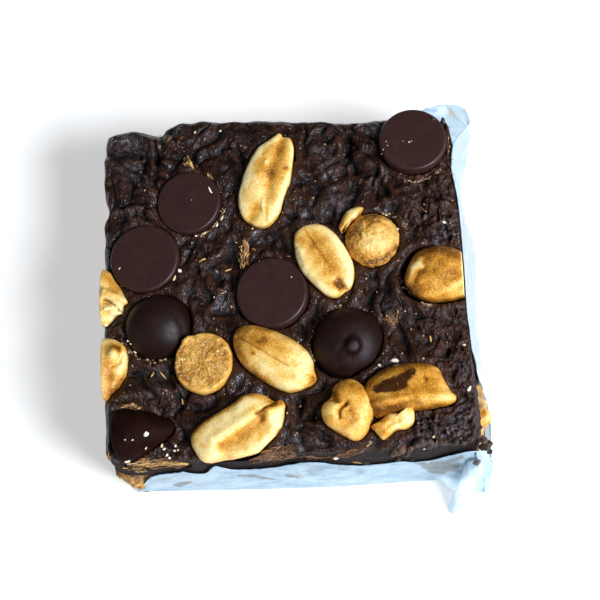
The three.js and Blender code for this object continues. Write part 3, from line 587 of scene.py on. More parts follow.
# What the photo shows on each topping, by value: stroke in photo pixels, width in mm, amount.
# height is in mm along the surface's way out. The other values run from 0 to 1.
# toast and pale hold the nuts' own roast and paler flesh, with painted light laid in: toast marks add
# painted shade along the upper and left edges, pale marks painted highlights on the lit lower and right
# edges and ridges.
MARKS = {
    "peanut_half_back": {
        "height": [
            ([(282, 143), (277, 154), (273, 166), (270, 180), (266, 196)], 1.0, -0.4),
            ([(287, 152), (284, 172), (276, 195)], 1.2, 0.2), ([(286.3, 168)], 0.5, -0.12),
            ([(256, 208), (251, 219)], 0.8, -0.25), ([(266, 161.5)], 0.35, 0.3),
            ([(263.5, 198), (262, 206), (265, 216)], 0.2, 0.2), ([(266, 206), (266, 222)], 0.25, -0.2),
            ([(247, 195), (252, 180)], 1.8, 0.2),
        ],
        "toast": [
            ([(282, 142), (276.5, 153), (273, 166), (271, 174)], 0.75, 0.34),
            ([(271, 174), (268, 186), (265.5, 196)], 0.6, 0.2),
            ([(286, 146), (283, 160), (279, 176)], 1.4, 0.24), ([(278, 180), (272, 200)], 1.3, 0.14),
            ([(270, 146), (262, 156), (262, 166)], 1.6, 0.24), ([(286.3, 168)], 0.5, 0.5),
            ([(257, 207), (251, 220)], 0.9, 0.34), ([(266, 208), (265.5, 222)], 0.2, 0.25),
        ],
        "pale": [
            ([(240, 196), (244, 180), (250, 166), (262, 148), (277, 138)], 0.35, 1.1),
            ([(292, 150), (290, 170), (284, 192), (275, 214)], 0.4, 1.0), ([(266, 161.5)], 0.4, 1.0),
            ([(263, 197), (261.5, 206)], 0.2, 1.0), ([(241, 200), (246, 214), (254, 225)], 0.8, 0.5),
            ([(264, 141), (252, 161)], 0.5, 0.6), ([(245, 190), (252, 178)], 1.2, 0.4),
            ([(272, 219), (281, 200)], 0.8, 0.5), ([(284, 139), (291, 148)], 0.4, 0.5),
        ],
        "stain": [([(262.3, 164.8)], 0.2, 0.6)],
    },
    "peanut_half_middle": {
        "height": [
            ([(304, 229), (313, 242), (322, 254.5)], 0.16, -0.1),
            ([(312, 240), (322, 256), (332, 270)], 1.7, -0.35),
            ([(300, 250), (308, 268), (320, 283)], 0.6, 0.2), ([(338.5, 281), (342, 288)], 0.8, -0.8),
        ],
        "toast": [
            ([(304, 229), (313, 242), (322, 254.5), (331, 266)], 0.2, 0.2),
            ([(311, 236), (319, 250), (330, 268)], 1.7, 0.34), ([(338, 280), (343, 289)], 0.6, 0.8),
            ([(334.5, 284), (343, 288)], 0.5, 0.5), ([(300.5, 240)], 0.8, 0.3),
            ([(297, 248), (303, 266), (314, 281)], 0.3, 0.2),
        ],
        "pale": [
            ([(297, 246), (301, 262), (312, 279), (326, 291)], 0.5, 0.9),
            ([(312, 227), (326, 230), (340, 243), (350, 262)], 0.45, 0.7),
            ([(336, 243), (347, 262), (351, 275), (346, 288)], 0.8, 0.8),
            ([(300, 262), (312, 280), (328, 292)], 1.0, 0.4),
        ],
        "stain": [([(335.5, 284), (340, 286)], 0.4, 0.4)],
    },
    "peanut_whole": {
        "height": [
            (
                [(236, 336.7), (249.4, 343.4), (260, 349.7), (277, 359.7), (290, 366), (303, 372.6)],
                0.22, -0.4,
            ),
            ([(249, 338), (263, 344), (285, 355)], 1.2, 0.15), ([(311, 379)], 1.0, -0.45),
            ([(300, 385), (308, 377)], 0.4, -0.3),
        ],
        "stain": [([(238, 337.5), (249.4, 343.4), (260, 349.7), (277, 359.7), (289, 366)], 0.1, 0.9)],
        "toast": [
            ([(240, 334), (262, 341), (285, 350)], 1.4, 0.24), ([(253.3, 353.5)], 0.42, 0.5),
            ([(259, 343)], 0.9, 0.3), ([(265, 340)], 0.6, 0.3), ([(237, 341), (240, 352)], 0.8, 0.25),
            ([(314, 379)], 0.9, 0.6), ([(237, 349), (250, 368), (264, 380)], 0.5, 0.25),
            ([(236, 330), (252, 327), (275, 333)], 0.6, 0.3),
        ],
        "pale": [
            ([(300, 373), (306, 362), (296, 354)], 1.4, 0.9), ([(283, 386), (298, 389)], 1.1, 0.6),
            ([(262, 366), (276, 376)], 1.4, 0.4),
        ],
    },
    "peanut_half_front": {
        "height": [
            ([(214, 440), (232, 428), (252, 413.5)], 0.9, 0.25),
            ([(219, 446), (233, 439), (247, 430), (258, 421)], 0.95, -0.75),
            ([(228, 449), (246, 440), (262, 429)], 1.3, -0.4),
            ([(232, 456), (256, 449), (273, 434)], 0.7, 0.4), ([(261, 415)], 0.8, -0.8),
            ([(268, 411), (280, 405)], 0.8, 0.6), ([(255, 413), (264, 407.5), (275, 403.2)], 0.25, -0.4),
            ([(213, 444)], 0.4, 0.25),
        ],
        "toast": [
            ([(219, 445), (231, 438), (243, 429.5), (254, 420)], 0.5, 0.26),
            ([(222, 447), (238, 438), (256, 425)], 0.9, 0.22),
            ([(230, 450), (248, 441), (262, 431)], 1.4, 0.18), ([(259, 413), (263, 418)], 0.7, 0.6),
            ([(256, 412.5), (266, 406.5), (275, 403)], 0.2, 0.4), ([(266, 409), (279, 406)], 0.6, 0.24),
            ([(272, 406), (283, 403)], 0.5, 0.4), ([(194, 430), (214, 414), (240, 399)], 0.55, 0.45),
            ([(248, 394), (272, 401)], 0.5, 0.45), ([(202, 445)], 0.5, 0.2),
        ],
        "pale": [
            ([(214, 441), (233, 429), (252, 415)], 0.6, 0.4), ([(272, 418), (282, 411)], 0.8, 0.6),
            ([(279.4, 425)], 0.45, 1.2), ([(205, 432), (226, 418), (245, 404), (262, 401)], 0.9, 0.5),
            ([(200, 452), (208, 459), (215, 452)], 0.8, 0.6), ([(213, 443)], 0.35, 0.6),
            ([(240, 452), (262, 444), (278, 427)], 0.7, 0.5),
        ],
        "stain": [([(259.5, 415)], 0.5, 0.5)],
    },
    "peanut_glazed": {
        "height": [
            ([(374, 404), (392, 401), (418, 395.5), (437, 395), (453, 398)], 0.8, 0.4),
            ([(376, 409), (392, 408), (412, 405)], 0.9, -0.5), ([(385, 385), (410, 377)], 1.8, 0.2),
            ([(384, 404.5), (400, 400)], 0.16, -0.2),
        ],
        "toast": [
            ([(410, 388), (436, 390)], 0.9, 0.1), ([(426.3, 379)], 0.4, 0.5),
            ([(388, 410), (400, 409)], 0.6, 0.45), ([(376, 413), (405, 409)], 0.9, 0.3),
            ([(368, 384), (376, 375), (400, 366), (424, 365)], 0.7, 0.34),
            ([(372, 404), (376, 414)], 0.8, 0.3), ([(436, 384)], 1.3, 0.1),
        ],
        "stain": [
            ([(376, 388.5), (386, 383.5), (397, 379.5), (410, 373)], 0.7, 1.0),
            ([(378, 390), (396, 389.5), (405, 386)], 0.55, 0.9), ([(413.5, 371.5)], 0.5, 1.0),
            ([(386, 386), (403, 382), (409, 377)], 0.8, 0.8),
        ],
        "pale": [
            ([(441, 384), (448, 394)], 1.2, 0.6), ([(390, 400.5), (412, 396)], 0.3, 0.6),
            ([(425, 397), (448, 400)], 0.7, 0.8), ([(438, 369)], 0.35, 1.0),
        ],
    },
    "peanut_crescent": {
        "toast": [([(373, 428), (386, 420)], 0.7, 0.4), ([(385, 432)], 0.7, 0.25)],
        "height": [
            ([(391, 423)], 0.5, -0.4), ([(387, 427), (390, 431)], 0.3, -0.4), ([(398, 419)], 0.5, -0.3),
        ],
        "stain": [([(375, 427)], 0.4, 0.3)],
        "pale": [([(398, 426)], 0.4, 1.2), ([(406, 412), (411, 420)], 0.7, 0.6)],
    },
    "peanut_sliver": {
        "pale": [([(356, 211), (350, 222)], 0.5, 0.7)], "toast": [([(341, 226), (346, 215)], 0.35, 0.3)],
    },
    "peanut_cut_right": {
        "height": [
            ([(420, 260), (413, 268), (409, 281)], 0.6, 0.16),
            ([(425, 266), (418, 271), (414, 282)], 0.3, -0.16), ([(433, 270)], 0.3, -0.12),
            ([(446, 271.5)], 0.3, -0.14), ([(426, 257)], 0.35, -0.1),
            ([(432, 294), (448, 289), (462, 281)], 0.9, 0.2), ([(444, 298), (463, 288)], 0.7, -0.3),
        ],
        "pale": [
            ([(420, 259), (418, 266), (413, 268)], 0.5, 1.7),
            ([(415, 265), (411, 276), (408, 284)], 0.42, 1.5), ([(421, 264), (423, 268)], 0.3, 1.3),
            ([(455, 261), (462, 266)], 0.8, 0.5),
            ([(426, 296), (440, 292), (452, 287), (462, 280)], 0.6, 0.9), ([(430, 264)], 0.8, 0.3),
            ([(448, 297), (463, 290)], 0.8, 0.5),
        ],
        "toast": [
            ([(424, 271), (417, 278)], 0.5, 0.2), ([(418, 256), (440, 249), (460, 253)], 1.0, 0.24),
            ([(408, 288), (414, 297), (425, 301)], 0.8, 0.34), ([(436, 283), (448, 280)], 0.8, -0.1),
        ],
        "stain": [
            ([(433, 270)], 0.24, 0.55), ([(446, 271.5)], 0.28, 0.6), ([(454, 270.5)], 0.22, 0.55),
            ([(441, 266)], 0.18, 0.4), ([(426, 257)], 0.3, 0.45), ([(422, 289)], 0.2, 0.4),
            ([(438, 293)], 0.18, 0.4), ([(431, 281)], 0.2, 0.4), ([(450, 287)], 0.22, 0.4),
            ([(428, 296)], 0.18, 0.4), ([(457, 281)], 0.2, 0.5),
        ],
    },
    "peanut_cut_left_back": {
        "height": [
            ([(104, 292), (114, 297), (124, 303)], 0.6, 0.7),
            ([(104, 301), (114, 304), (121, 309)], 0.4, -1.2), ([(105, 309), (113, 307)], 0.35, 0.6),
            ([(113, 313), (122, 312)], 0.4, 0.5), ([(106, 313), (116, 312)], 0.25, -0.6),
            ([(119, 311), (124, 312)], 0.3, -0.6), ([(104, 314), (110, 317)], 0.3, -0.5),
        ],
        "stain": [
            ([(104, 300), (112, 302.5), (119, 308)], 0.38, 0.8), ([(108, 313), (115, 312)], 0.2, 0.5),
            ([(119, 311), (124, 312)], 0.3, 0.7),
        ],
        "pale": [
            ([(104, 297), (114, 300.5), (123, 307)], 0.22, 1.2), ([(104, 284), (107, 291)], 0.8, 0.4),
            ([(118, 295), (124, 301)], 0.5, 0.6), ([(105, 309), (113, 307), (114, 311)], 0.4, 1.4),
            ([(113, 313), (122, 312)], 0.6, 1.0), ([(114, 317), (122, 316)], 0.35, 1.3),
            ([(112, 322), (107, 326)], 0.4, 1.0), ([(104, 318), (109, 320)], 0.5, 0.7),
        ],
        "toast": [([(108, 280), (116, 290)], 1.0, 0.3)],
    },
    "peanut_cut_left_front": {
        "height": [
            ([(113.5, 353)], 0.9, 1.0), ([(121.5, 355), (119, 362), (112, 365)], 0.35, -0.5),
            ([(110, 374), (108, 390)], 1.3, -0.7), ([(124, 357), (121, 369)], 0.5, 0.25),
        ],
        "toast": [
            ([(112, 347), (118, 348)], 0.7, 0.6), ([(119, 351)], 0.6, 0.4),
            ([(108, 368), (112, 378), (108, 392)], 1.3, 0.36), ([(123, 380), (113, 396)], 0.6, 0.45),
        ],
        "pale": [
            ([(112, 357)], 0.6, 0.5), ([(124.5, 355), (124, 365), (118, 372)], 0.55, 1.2),
            ([(104, 342), (113, 341)], 0.7, 0.7), ([(113, 357)], 0.6, 0.6),
        ],
    },
    "peanut_curled": {
        "height": [
            ([(346, 402.5), (341, 406), (338, 411), (338.5, 417)], 0.34, -1.0),
            ([(331, 399), (340, 401), (346, 402)], 0.3, -0.5), ([(330, 410), (332, 418)], 1.3, 0.5),
            ([(349, 409), (352, 414)], 0.5, -0.4), ([(347, 424), (357, 417)], 0.5, -0.2),
        ],
        "stain": [([(343, 404), (338.2, 410), (338.4, 415)], 0.24, 0.5)],
        "toast": [
            ([(346, 404), (351, 412), (352, 420)], 0.9, 0.25),
            ([(336, 392), (345, 384), (358, 389)], 1.1, 0.3), ([(334, 394), (336, 399)], 0.5, 0.4),
        ],
        "pale": [
            ([(330, 405), (325, 414)], 0.8, 0.6), ([(365, 405), (367, 420)], 0.8, 0.5),
            ([(350, 430), (360, 424)], 0.9, 0.5),
        ],
    },
    "peanut_side_chunk": {
        "pale": [([(491, 411), (489, 418)], 0.45, 1.2)], "toast": [([(482, 414)], 0.6, 0.3)],
    },
    "peanut_butter_chip_1": {
        "height": [([(184, 341), (188, 338)], 0.7, 0.5)],
        "toast": [([(181, 371), (186, 378)], 0.8, 0.25)], "pale": [([(205, 391), (215, 386)], 1.0, 0.3)],
    },
    "peanut_butter_chip_2": {
        "toast": [
            ([(353, 233), (362, 222), (375, 218)], 1.4, 0.45), ([(352, 246), (362, 258)], 0.6, 0.35),
            ([(368, 263), (384, 259), (395, 247)], 0.6, 0.55),
        ],
        "pale": [
            ([(378, 232), (372, 245), (385, 245)], 1.4, 0.6), ([(363.5, 223), (363, 234)], 0.35, 1.0),
        ],
        "height": [([(363.5, 223)], 0.35, 0.2), ([(363, 234)], 0.4, 0.15)],
        "stain": [([(372, 263), (387, 257)], 0.3, 0.25)],
    },
    "chip_flat_4": {"height": [([(397, 147), (399, 157), (400, 164)], 0.18, -0.12)]},
    "chip_flat_1": {"height": [([(168.5, 198), (172, 195)], 0.12, 0.03)]},
    "chip_tip_1": {"height": [([(178, 318), (183, 326), (184, 336)], 0.7, -0.16)]},
    "chip_tip_2": {
        "height": [
            ([(348, 338), (341, 349), (335, 358)], 0.6, -0.16),
            ([(350, 357), (341, 361), (330, 366)], 0.6, -0.16), ([(342, 355)], 0.8, 0.12),
        ],
    },
    "chip_tip_3": {
        "height": [
            ([(124, 418), (124, 454)], 0.6, 0.08), ([(131, 416), (131, 456)], 0.8, -0.06),
            ([(150, 428), (165, 430)], 1.6, -0.15),
        ],
    },
}


def turned(spec):
    """The topping's rotation: it leans about X and Y, then turns round Z."""
    lean_y, lean_x = spec.get("tip", (0, 0))
    angles = (math.radians(-lean_y), math.radians(lean_x), math.radians(spec.get("turn", 0)))
    return np.array(Euler(angles, "XYZ").to_matrix())


def placed(points, spec):
    return points @ turned(spec).T + np.array(spec["at"])


def chip_shape(spec):
    """A lathed chip: rings from the foot's middle to the tip's middle."""
    curve = spline(spec.get("curve", FLAT_CURVE), np.linspace(0, 1, CHIP_RINGS + 1))
    radius, height = curve.T * np.array([[spec["diameter"] / 2], [spec["height"]]])
    angle = np.arange(CHIP_SEGMENTS) * 2 * math.pi / CHIP_SEGMENTS
    rings = np.stack([
        np.outer(radius[1:-1], np.cos(angle)), np.outer(radius[1:-1], np.sin(angle)),
        np.repeat(height[1:-1, None], CHIP_SEGMENTS, axis=1),
    ], axis=-1).reshape(-1, 3)
    points = np.concatenate([rings, [[0, 0, height[0]], [0, 0, height[-1]]]])
    count = CHIP_RINGS - 1
    body = grid_faces(count, CHIP_SEGMENTS, wrap=True)
    first = np.arange(CHIP_SEGMENTS)
    ends = [
        fan_faces(len(rings), first, flip=True),
        fan_faces(len(rings) + 1, first + (count - 1) * CHIP_SEGMENTS),
    ]
    bend = spec.get("bend", (0, 0))
    points[:, :2] += (points[:, 2:] / spec["height"]) ** 2 * np.array(bend)
    points[:, :2] *= spec.get("stretch", (1, 1))
    if spec.get("foot_up"):
        points = points * np.array([1, -1, -1])
    return points, [body, *ends]


def closed_curve(controls, count):
    """Points of a smooth closed curve through the controls."""
    ring = np.asarray(controls, float)
    reach = 3
    padded = np.concatenate([ring[-reach:], ring, ring[:reach]])
    last = len(padded) - 1
    return spline(padded, (reach + np.linspace(0, len(ring), count, endpoint=False)) / last)


def peanut_plan(spec):
    """The peanut's middle, its radius for each direction, its long way and how slim it is."""
    if "outline" in spec:
        ring = np.array([at_height(pixel, spec["z"])[:2] for pixel in spec["outline"]])
        ring = closed_curve(ring, 4 * OUTLINE_BINS)
    else:
        angle = np.linspace(0, 2 * math.pi, 4 * OUTLINE_BINS, endpoint=False)
        turn = math.radians(spec["turn"])
        x, y = spec["length"] / 2 * np.cos(angle), spec["width"] / 2 * np.sin(angle)
        ring = np.stack([
            x * math.cos(turn) - y * math.sin(turn), x * math.sin(turn) + y * math.cos(turn),
        ], axis=-1) + np.array(spec["at"])
    centre = (ring.min(axis=0) + ring.max(axis=0)) / 2
    away = ring - centre
    size, ways = np.linalg.eigh(away.T @ away)
    direction = np.arctan2(away[:, 1], away[:, 0]) / (2 * math.pi) % 1
    order = np.argsort(direction)
    bins = (np.arange(OUTLINE_BINS) + 0.5) / OUTLINE_BINS
    radii = np.interp(bins, direction[order], np.hypot(*away[order].T), period=1)
    return centre, radii, ways[:, 1], math.sqrt(size[0] / size[1])


def radius_towards(radii, x, y):
    bins = (np.arange(len(radii)) + 0.5) / len(radii)
    return np.interp(np.arctan2(y, x) / (2 * math.pi) % 1, bins, radii, period=1)


def peanut_shape(spec):
    """A peanut swollen from a ball out to its outline."""
    centre, radii, way, slim = peanut_plan(spec)
    direction, quads = cube_sphere(spec.get("steps", PEANUT_STEPS))
    reach = np.hypot(direction[:, 0], direction[:, 1])
    flat = direction[:, :1] * way + slim * direction[:, 1:2] * np.array([-way[1], way[0]])
    flat /= np.maximum(np.linalg.norm(flat, axis=1, keepdims=True), TINY)
    radius = radius_towards(radii, flat[:, 0], flat[:, 1])
    up = direction[:, 2]
    power = np.where(up > 0, spec.get("flat", USUAL_BACK), USUAL_BACK)
    thick = np.where(up > 0, spec["top"], spec["bottom"])
    across = centre + flat * (radius * reach)[:, None]
    return np.column_stack([across, spec["z"] + thick * np.sign(up) * np.abs(up) ** power]), [quads]


def inside_peanut(points, spec):
    """Under 1 inside the peanut, over 1 outside it."""
    centre, radii, _, _ = peanut_plan(spec)
    away = points[:, :2] - centre
    share = np.hypot(*away.T) / radius_towards(radii, away[:, 0], away[:, 1])
    above = points[:, 2] - spec["z"]
    thick = np.where(above > 0, spec["top"], spec["bottom"])
    return share ** 2 + np.abs(above / thick) ** 2.5


SIDE_NAMES = {"front": FRONT, "right": RIGHT, "back": BACK, "left": LEFT}


def cut_flush(points, spec):
    """Draws what stands out of a cut side in towards a point inside the kernel, onto the cut."""
    side = SIDE_NAMES[spec["side"]]
    centre = np.array(spec["keep"])
    low, high = np.zeros(len(points)), np.ones(len(points))
    for _ in range(CUT_HALVINGS):
        middle = (low + high) / 2
        tried = points + (centre - points) * middle[:, None]
        inside = outside_of(side, tried[:, 0], tried[:, 1]) < -CUT_DEPTH
        high = np.where(inside, middle, high)
        low = np.where(inside, low, middle)
    out = outside_of(side, points[:, 0], points[:, 1]) > -CUT_DEPTH
    moved = points + (centre - points) * high[:, None]
    return np.where(out[:, None], moved, points), out


def dressed(points, faces, spec, wobble, seed):
    """Uneven skin and the photo's marks on a placed topping. Gives the points and values."""
    way_out = normals_of(points, faces)
    uneven = wobble * (solid_noise(points, 3.1, seed) + 0.5 * solid_noise(points, 1.2, seed + 1))
    uneven += 0.16 * wobble * solid_noise(points, 0.5, seed + 2)
    facing = ramp(way_out @ CAMERA_BACK, 0.0, 0.35)
    values = add_marks(points, MARKS.get(spec["name"], {}), {"height": np.zeros(len(points))}, facing)
    points = points + way_out * (uneven + values.pop("height"))[:, None]
    return points, values


def toast_of(points, faces, spec, values, seed):
    """How brown the roasted surface is from place to place, and darker where it turns from facing up."""
    way_out = normals_of(points, faces)
    toast = spec.get("toast", USUAL_TOAST) + 0.09 * solid_noise(points, 2.6, seed)
    toast += 0.06 * solid_noise(points, 0.9, seed + 1)
    # Darker where the surface turns from facing up to the side and down.
    toast += 0.2 * ramp(way_out[:, 2], 0.5, -0.1)
    return toast + values.get("toast", 0)


def chip_mesh(spec, seed):
    points, faces = chip_shape(spec)
    points, values = dressed(placed(points, spec), faces, spec, CHIP_WOBBLE, 10 + seed)
    return points, faces, values


def foot_roughness(points, way_out, spec):
    """How grainy a chip's foot is: wholly in its middle, little at its rim and on the side."""
    away = np.hypot(points[:, 0] - spec["at"][0], points[:, 1] - spec["at"][1])
    middle = away / (spec["diameter"] / 2)
    uneven = 0.08 * solid_noise(points, 1.3, 75)
    return 0.25 + 0.75 * ramp(middle + uneven, 1.0, 0.8) * ramp(way_out[:, 2], 0.5, 0.8)


def butter_chip_mesh(spec, seed):
    points, faces = chip_shape(spec)
    points, values = dressed(placed(points, spec), faces, spec, BUTTER_WOBBLE, 30 + seed)
    way_out = normals_of(points, faces)
    rough = foot_roughness(points, way_out, spec) if spec.get("foot_up") else DOME_ROUGH
    rough = np.broadcast_to(rough, len(points))
    grains = solid_noise(points, 0.7, 60 + seed) + 0.7 * solid_noise(points, 0.36, 70 + seed)
    points = points + way_out * (GRAIN_RELIEF * grains * rough)[:, None]
    values["toast"] = toast_of(points, faces, spec, values, 50 + seed) + (0.16 - 0.2 * grains) * rough
    values["rough"] = rough
    return points, faces, values


def peanut_mesh(spec, seed):
    points, faces = peanut_shape(spec)
    points, values = dressed(points, faces, spec, PEANUT_WOBBLE, 80 + seed)
    values["toast"] = toast_of(points, faces, spec, values, 120 + seed)
    if "side" in spec:
        points, cut = cut_flush(points, spec)
        values["toast"] = np.where(cut, CUT_TOAST, values["toast"])
    return points, faces, values


def topping_meshes():
    """Every topping as {name: (points, faces, values)}."""
    made = {}
    for specs, shaped in ((CHIPS, chip_mesh), (BUTTER_CHIPS, butter_chip_mesh), (PEANUTS, peanut_mesh)):
        for seed, spec in enumerate(specs):
            made[spec["name"]] = shaped(spec, seed)
    return made


# Fudge layer

FUDGE_STEPS = 264
EDGE_CROWDING = 0.3
EDGE_DROP = 1.0
EDGE_ROUND = 0.5
WALL_HEIGHTS = np.concatenate([np.linspace(20.6, 19.2, 4), np.linspace(18.7, LAYER, 14)])
# How much of a side's lean its fudge has at each height, from the middle of the wall up.
LEAN_HEIGHTS = (15.8, 19.2, 21)
LEAN_SHARES = (0.7, 0.35, 0.0)
# A topping's footprint is taken over the height SUNK. The pits round the toppings are PIT deep.
SUNK = 21.4
PIT = 3.4
FOOTPRINT_BINS = 72
CUT_RECESS = 1.6
BLUR_STEPS = 14
# Over EDGE_FROM the wall's rings spread up to the rough edge of the top.
WALL_TOP = 21
EDGE_FROM = 19.5
EDGE_FOOT = 19.2
EDGE_HEIGHT = 1.8
# The walls' share of the painted shade of the hollows: it darkens and roughens them.
WALL_CAVITY_SHADE = 0.25
WALL_CRUMB = 0.85
# Gap between the fudge and a topping: width all round, extra width and the side it is on, in degrees.
GAPS = {
    "chip_tip_2": (0.0, 0.55, 205), "peanut_cut_right": (0.1, 0.9, 172), "chip_tip_1": (0.0, 0.35, -30),
    "peanut_butter_chip_2": (0.0, 0.35, 80), "chip_tip_3": (0.0, 0.1, 60),
    "peanut_glazed": (-0.05, 0.25, 150),
}
USUAL_GAP = (-0.05, 0.1, 150)
GAP_SLOPE = 0.45
# Height of the lip that the fudge forms round a topping
LIPS = {"peanut_cut_right": 0.45, "chip_tip_2": 0.3, "chip_tip_1": 0.3, "peanut_butter_chip_2": 0.35}
USUAL_LIP = 0.2
LIP_AWAY = 0.8
LIP_WIDTH = 0.75
# Folds, furrows and lumps that the photo shows on the fudge
FUDGE_MARKS = {
    "height": [
        ([(120, 213), (133, 207), (150, 208)], 0.7, 0.5),
        ([(122, 209), (134, 203), (152, 205)], 0.35, -0.5),
        ([(349, 145), (350, 158), (354, 170)], 0.45, -0.9),
        ([(354, 171), (364, 175), (378, 172)], 0.5, -0.8),
        ([(375, 170), (380, 184), (392, 205)], 0.45, -0.7), ([(360, 150), (366, 162)], 1.5, 0.5),
        ([(315, 173), (328, 162), (340, 155)], 0.45, 0.55),
        ([(311, 178), (326, 168), (338, 160)], 0.3, -0.4),
        ([(236, 145), (240, 158), (246, 168)], 0.4, -0.6),
        ([(192, 157), (200, 168), (205, 178)], 0.4, -0.6), ([(155, 160), (156, 178)], 0.4, -0.4),
        ([(300, 185), (309, 178), (318, 190), (313, 205)], 0.4, -0.5),
        ([(330, 190), (337, 200), (333, 213)], 0.4, -0.5),
        ([(422, 160), (424, 185), (421, 215)], 0.5, -0.5),
        ([(400, 190), (415, 183), (420, 170)], 0.45, 0.4),
        ([(375, 275), (373, 290), (366, 310)], 0.7, -0.8),
        ([(352, 262), (360, 290), (356, 302)], 1.0, 0.4),
        ([(184, 407), (200, 409), (214, 404), (222, 392)], 0.8, -0.7),
        ([(170, 380), (178, 395), (180, 420)], 0.5, -0.6),
        ([(150, 372), (160, 395), (162, 405)], 1.6, 0.5),
        ([(120, 375), (140, 372), (165, 380)], 0.5, -0.4),
        ([(206, 320), (214, 303), (222, 292)], 0.6, 0.5),
        ([(196, 268), (203, 285), (210, 300)], 0.5, -0.6),
        ([(180, 244), (200, 246), (206, 262)], 0.45, -0.5),
        ([(410, 423), (414, 436), (408, 448)], 0.6, -0.7),
        ([(415, 421), (430, 414), (452, 410)], 0.5, -0.5),
        ([(445, 335), (448, 360), (452, 385)], 0.5, -0.6),
        ([(452, 372), (458, 388), (466, 396)], 0.9, -0.5),
        ([(300, 400), (297, 425), (303, 450)], 0.7, -0.7),
        ([(318, 405), (313, 430), (318, 448)], 1.2, 0.4), ([(285, 445), (296, 440)], 0.9, -0.5),
    ],
}
# Where the fudge shines most, as above: it is glossier there, and a bluish painted sheen is laid into its
# colour
GLOSS_AND_SHEEN_MARKS = {
    "gloss_and_painted_sheen": [
        ([(423, 426), (438, 434), (456, 430), (464, 420)], 2.0, 1.0),
        ([(412, 441), (430, 445)], 1.0, 0.7), ([(464, 368), (467, 395)], 1.0, 0.8),
        ([(332, 196), (344, 210)], 1.6, 0.8), ([(308, 216), (314, 228)], 1.3, 0.7),
        ([(438, 240), (447, 230)], 1.5, 1.0), ([(372, 124), (380, 134)], 1.2, 0.6),
        ([(116, 140), (138, 150)], 1.5, 0.9), ([(128, 172), (142, 182)], 1.6, 0.6),
        ([(220, 200), (228, 188)], 1.2, 0.6), ([(384, 306), (396, 318)], 1.7, 0.9),
        ([(352, 316), (362, 326)], 1.2, 0.6), ([(300, 318)], 1.0, 0.5),
        ([(222, 300), (236, 306)], 1.2, 0.4), ([(286, 430), (296, 440)], 1.2, 0.6),
        ([(195, 384), (208, 376)], 1.3, 0.5), ([(140, 372), (152, 384)], 1.4, 0.4),
        ([(320, 150), (330, 165)], 1.2, 0.5),
    ],
}


def top_height(x, y):
    """The CAD model's top: broad waves and the large folds."""
    z = TOP + 0.4 * noise(x / 7.5, y / 7.5, 1) + 0.25 * noise(x / 3.4, y / 3.4, 2)
    for x1, y1, x2, y2, width, size in FOLDS:
        along_x, along_y = x2 - x1, y2 - y1
        share = ((x - x1) * along_x + (y - y1) * along_y) / (along_x ** 2 + along_y ** 2)
        share = np.clip(share, 0, 1)
        z = z + size * bell(np.hypot(x - x1 - share * along_x, y - y1 - share * along_y), width)
    return z


def crumbliness(x, y):
    """0 where the fudge is wrinkled and shiny, 1 where it is matt and crumbly."""
    right = ramp(x + 0.08 * y + 2.5 * swirl(x / 9, y / 9, 31), 17, 27)
    corner = ramp(x - 0.7 * y + 2 * swirl(x / 7, y / 7, 32), 28, 40)
    spots = 0.55 * ramp(swirl(x / 6, y / 6, 33), 0.35, 0.8)
    return np.clip(np.maximum(right, corner) + spots, 0, 1)


def plates(value, width):
    """Flat between creases: 0 in the crease where the value crosses nought, about 1 away from it."""
    return 1 - np.exp(-np.abs(value) / width)


def folded(x, y, lively, quiet):
    """Relief of thin fudge pushed into folds that run along y."""
    waves = swirl(x / 3.4, y / 6.5, 37) + 0.2 * swirl(x / 1.6, y / 3.2, 38)
    folds = plates(swirl(x / 3.6, y / 6.8, 25), 0.17)
    pleats = plates(swirl(x / 1.7, y / 3.8, 26), 0.2)
    threads = plates(swirl(x / 0.85 + 7, y / 2.2, 27), 0.32)
    tilt = 0.5 * swirl(x / 2.2, y / 3.8, 50)
    creased = 1.15 * (folds - 0.65) + (0.22 + 0.34 * quiet) * (pleats - 0.65)
    return 0.5 * waves + tilt + lively * creased + (0.1 + 0.16 * quiet) * (threads - 0.6)


def wrinkles(x, y, crumb):
    """Fine relief: plates with creases between them, finer wrinkles, and grains where crumbly."""
    wx = x + 1.5 * swirl(x / 6.5, y / 6.5, 21) + 0.5 * swirl(x / 2.3, y / 2.3, 23)
    wy = y + 1.5 * swirl(x / 6.5, y / 6.5, 22) + 0.5 * swirl(x / 2.3, y / 2.3, 24)
    first, second, own = cells(wx / 1.3, wy / 1.1, 28)
    small_first, small_second, small_own = cells(wx / 0.62, wy / 0.62, 30)
    grains = 0.6 * (own - 0.5) - 0.35 * bell(second - first, 0.13)
    grains += 0.35 * (small_own - 0.5) - 0.2 * bell(small_second - small_first, 0.16)
    torn = swirl(wx / 1.7, wy / 2.3, 39) + 0.6 * swirl(wx / 0.8, wy / 0.9, 46)
    torn += 0.35 * swirl(x / 0.45, y / 0.45, 29)
    lively = 0.55 + 0.55 * ramp(swirl(x / 8, y / 8, 34), -0.5, 0.5)
    quiet = ramp(swirl(x / 5, y / 5, 47), -0.3, 0.5)
    upright = folded(wx - 0.3 * wy, wy + 0.3 * wx, lively, quiet)
    lying = folded(0.8 * wy + 0.6 * wx + 31, 0.8 * wx - 0.6 * wy, lively, quiet)
    smooth = mixed(upright, lying, ramp(swirl(x / 9, y / 9, 49), -0.2, 0.2))
    patchy = 0.35 + 0.65 * ramp(swirl(x / 3.5, y / 3.5, 48), -0.4, 0.5)
    rough = 0.55 * smooth + 0.45 * torn + 1.1 * patchy * grains
    return mixed(smooth, rough, crumb)


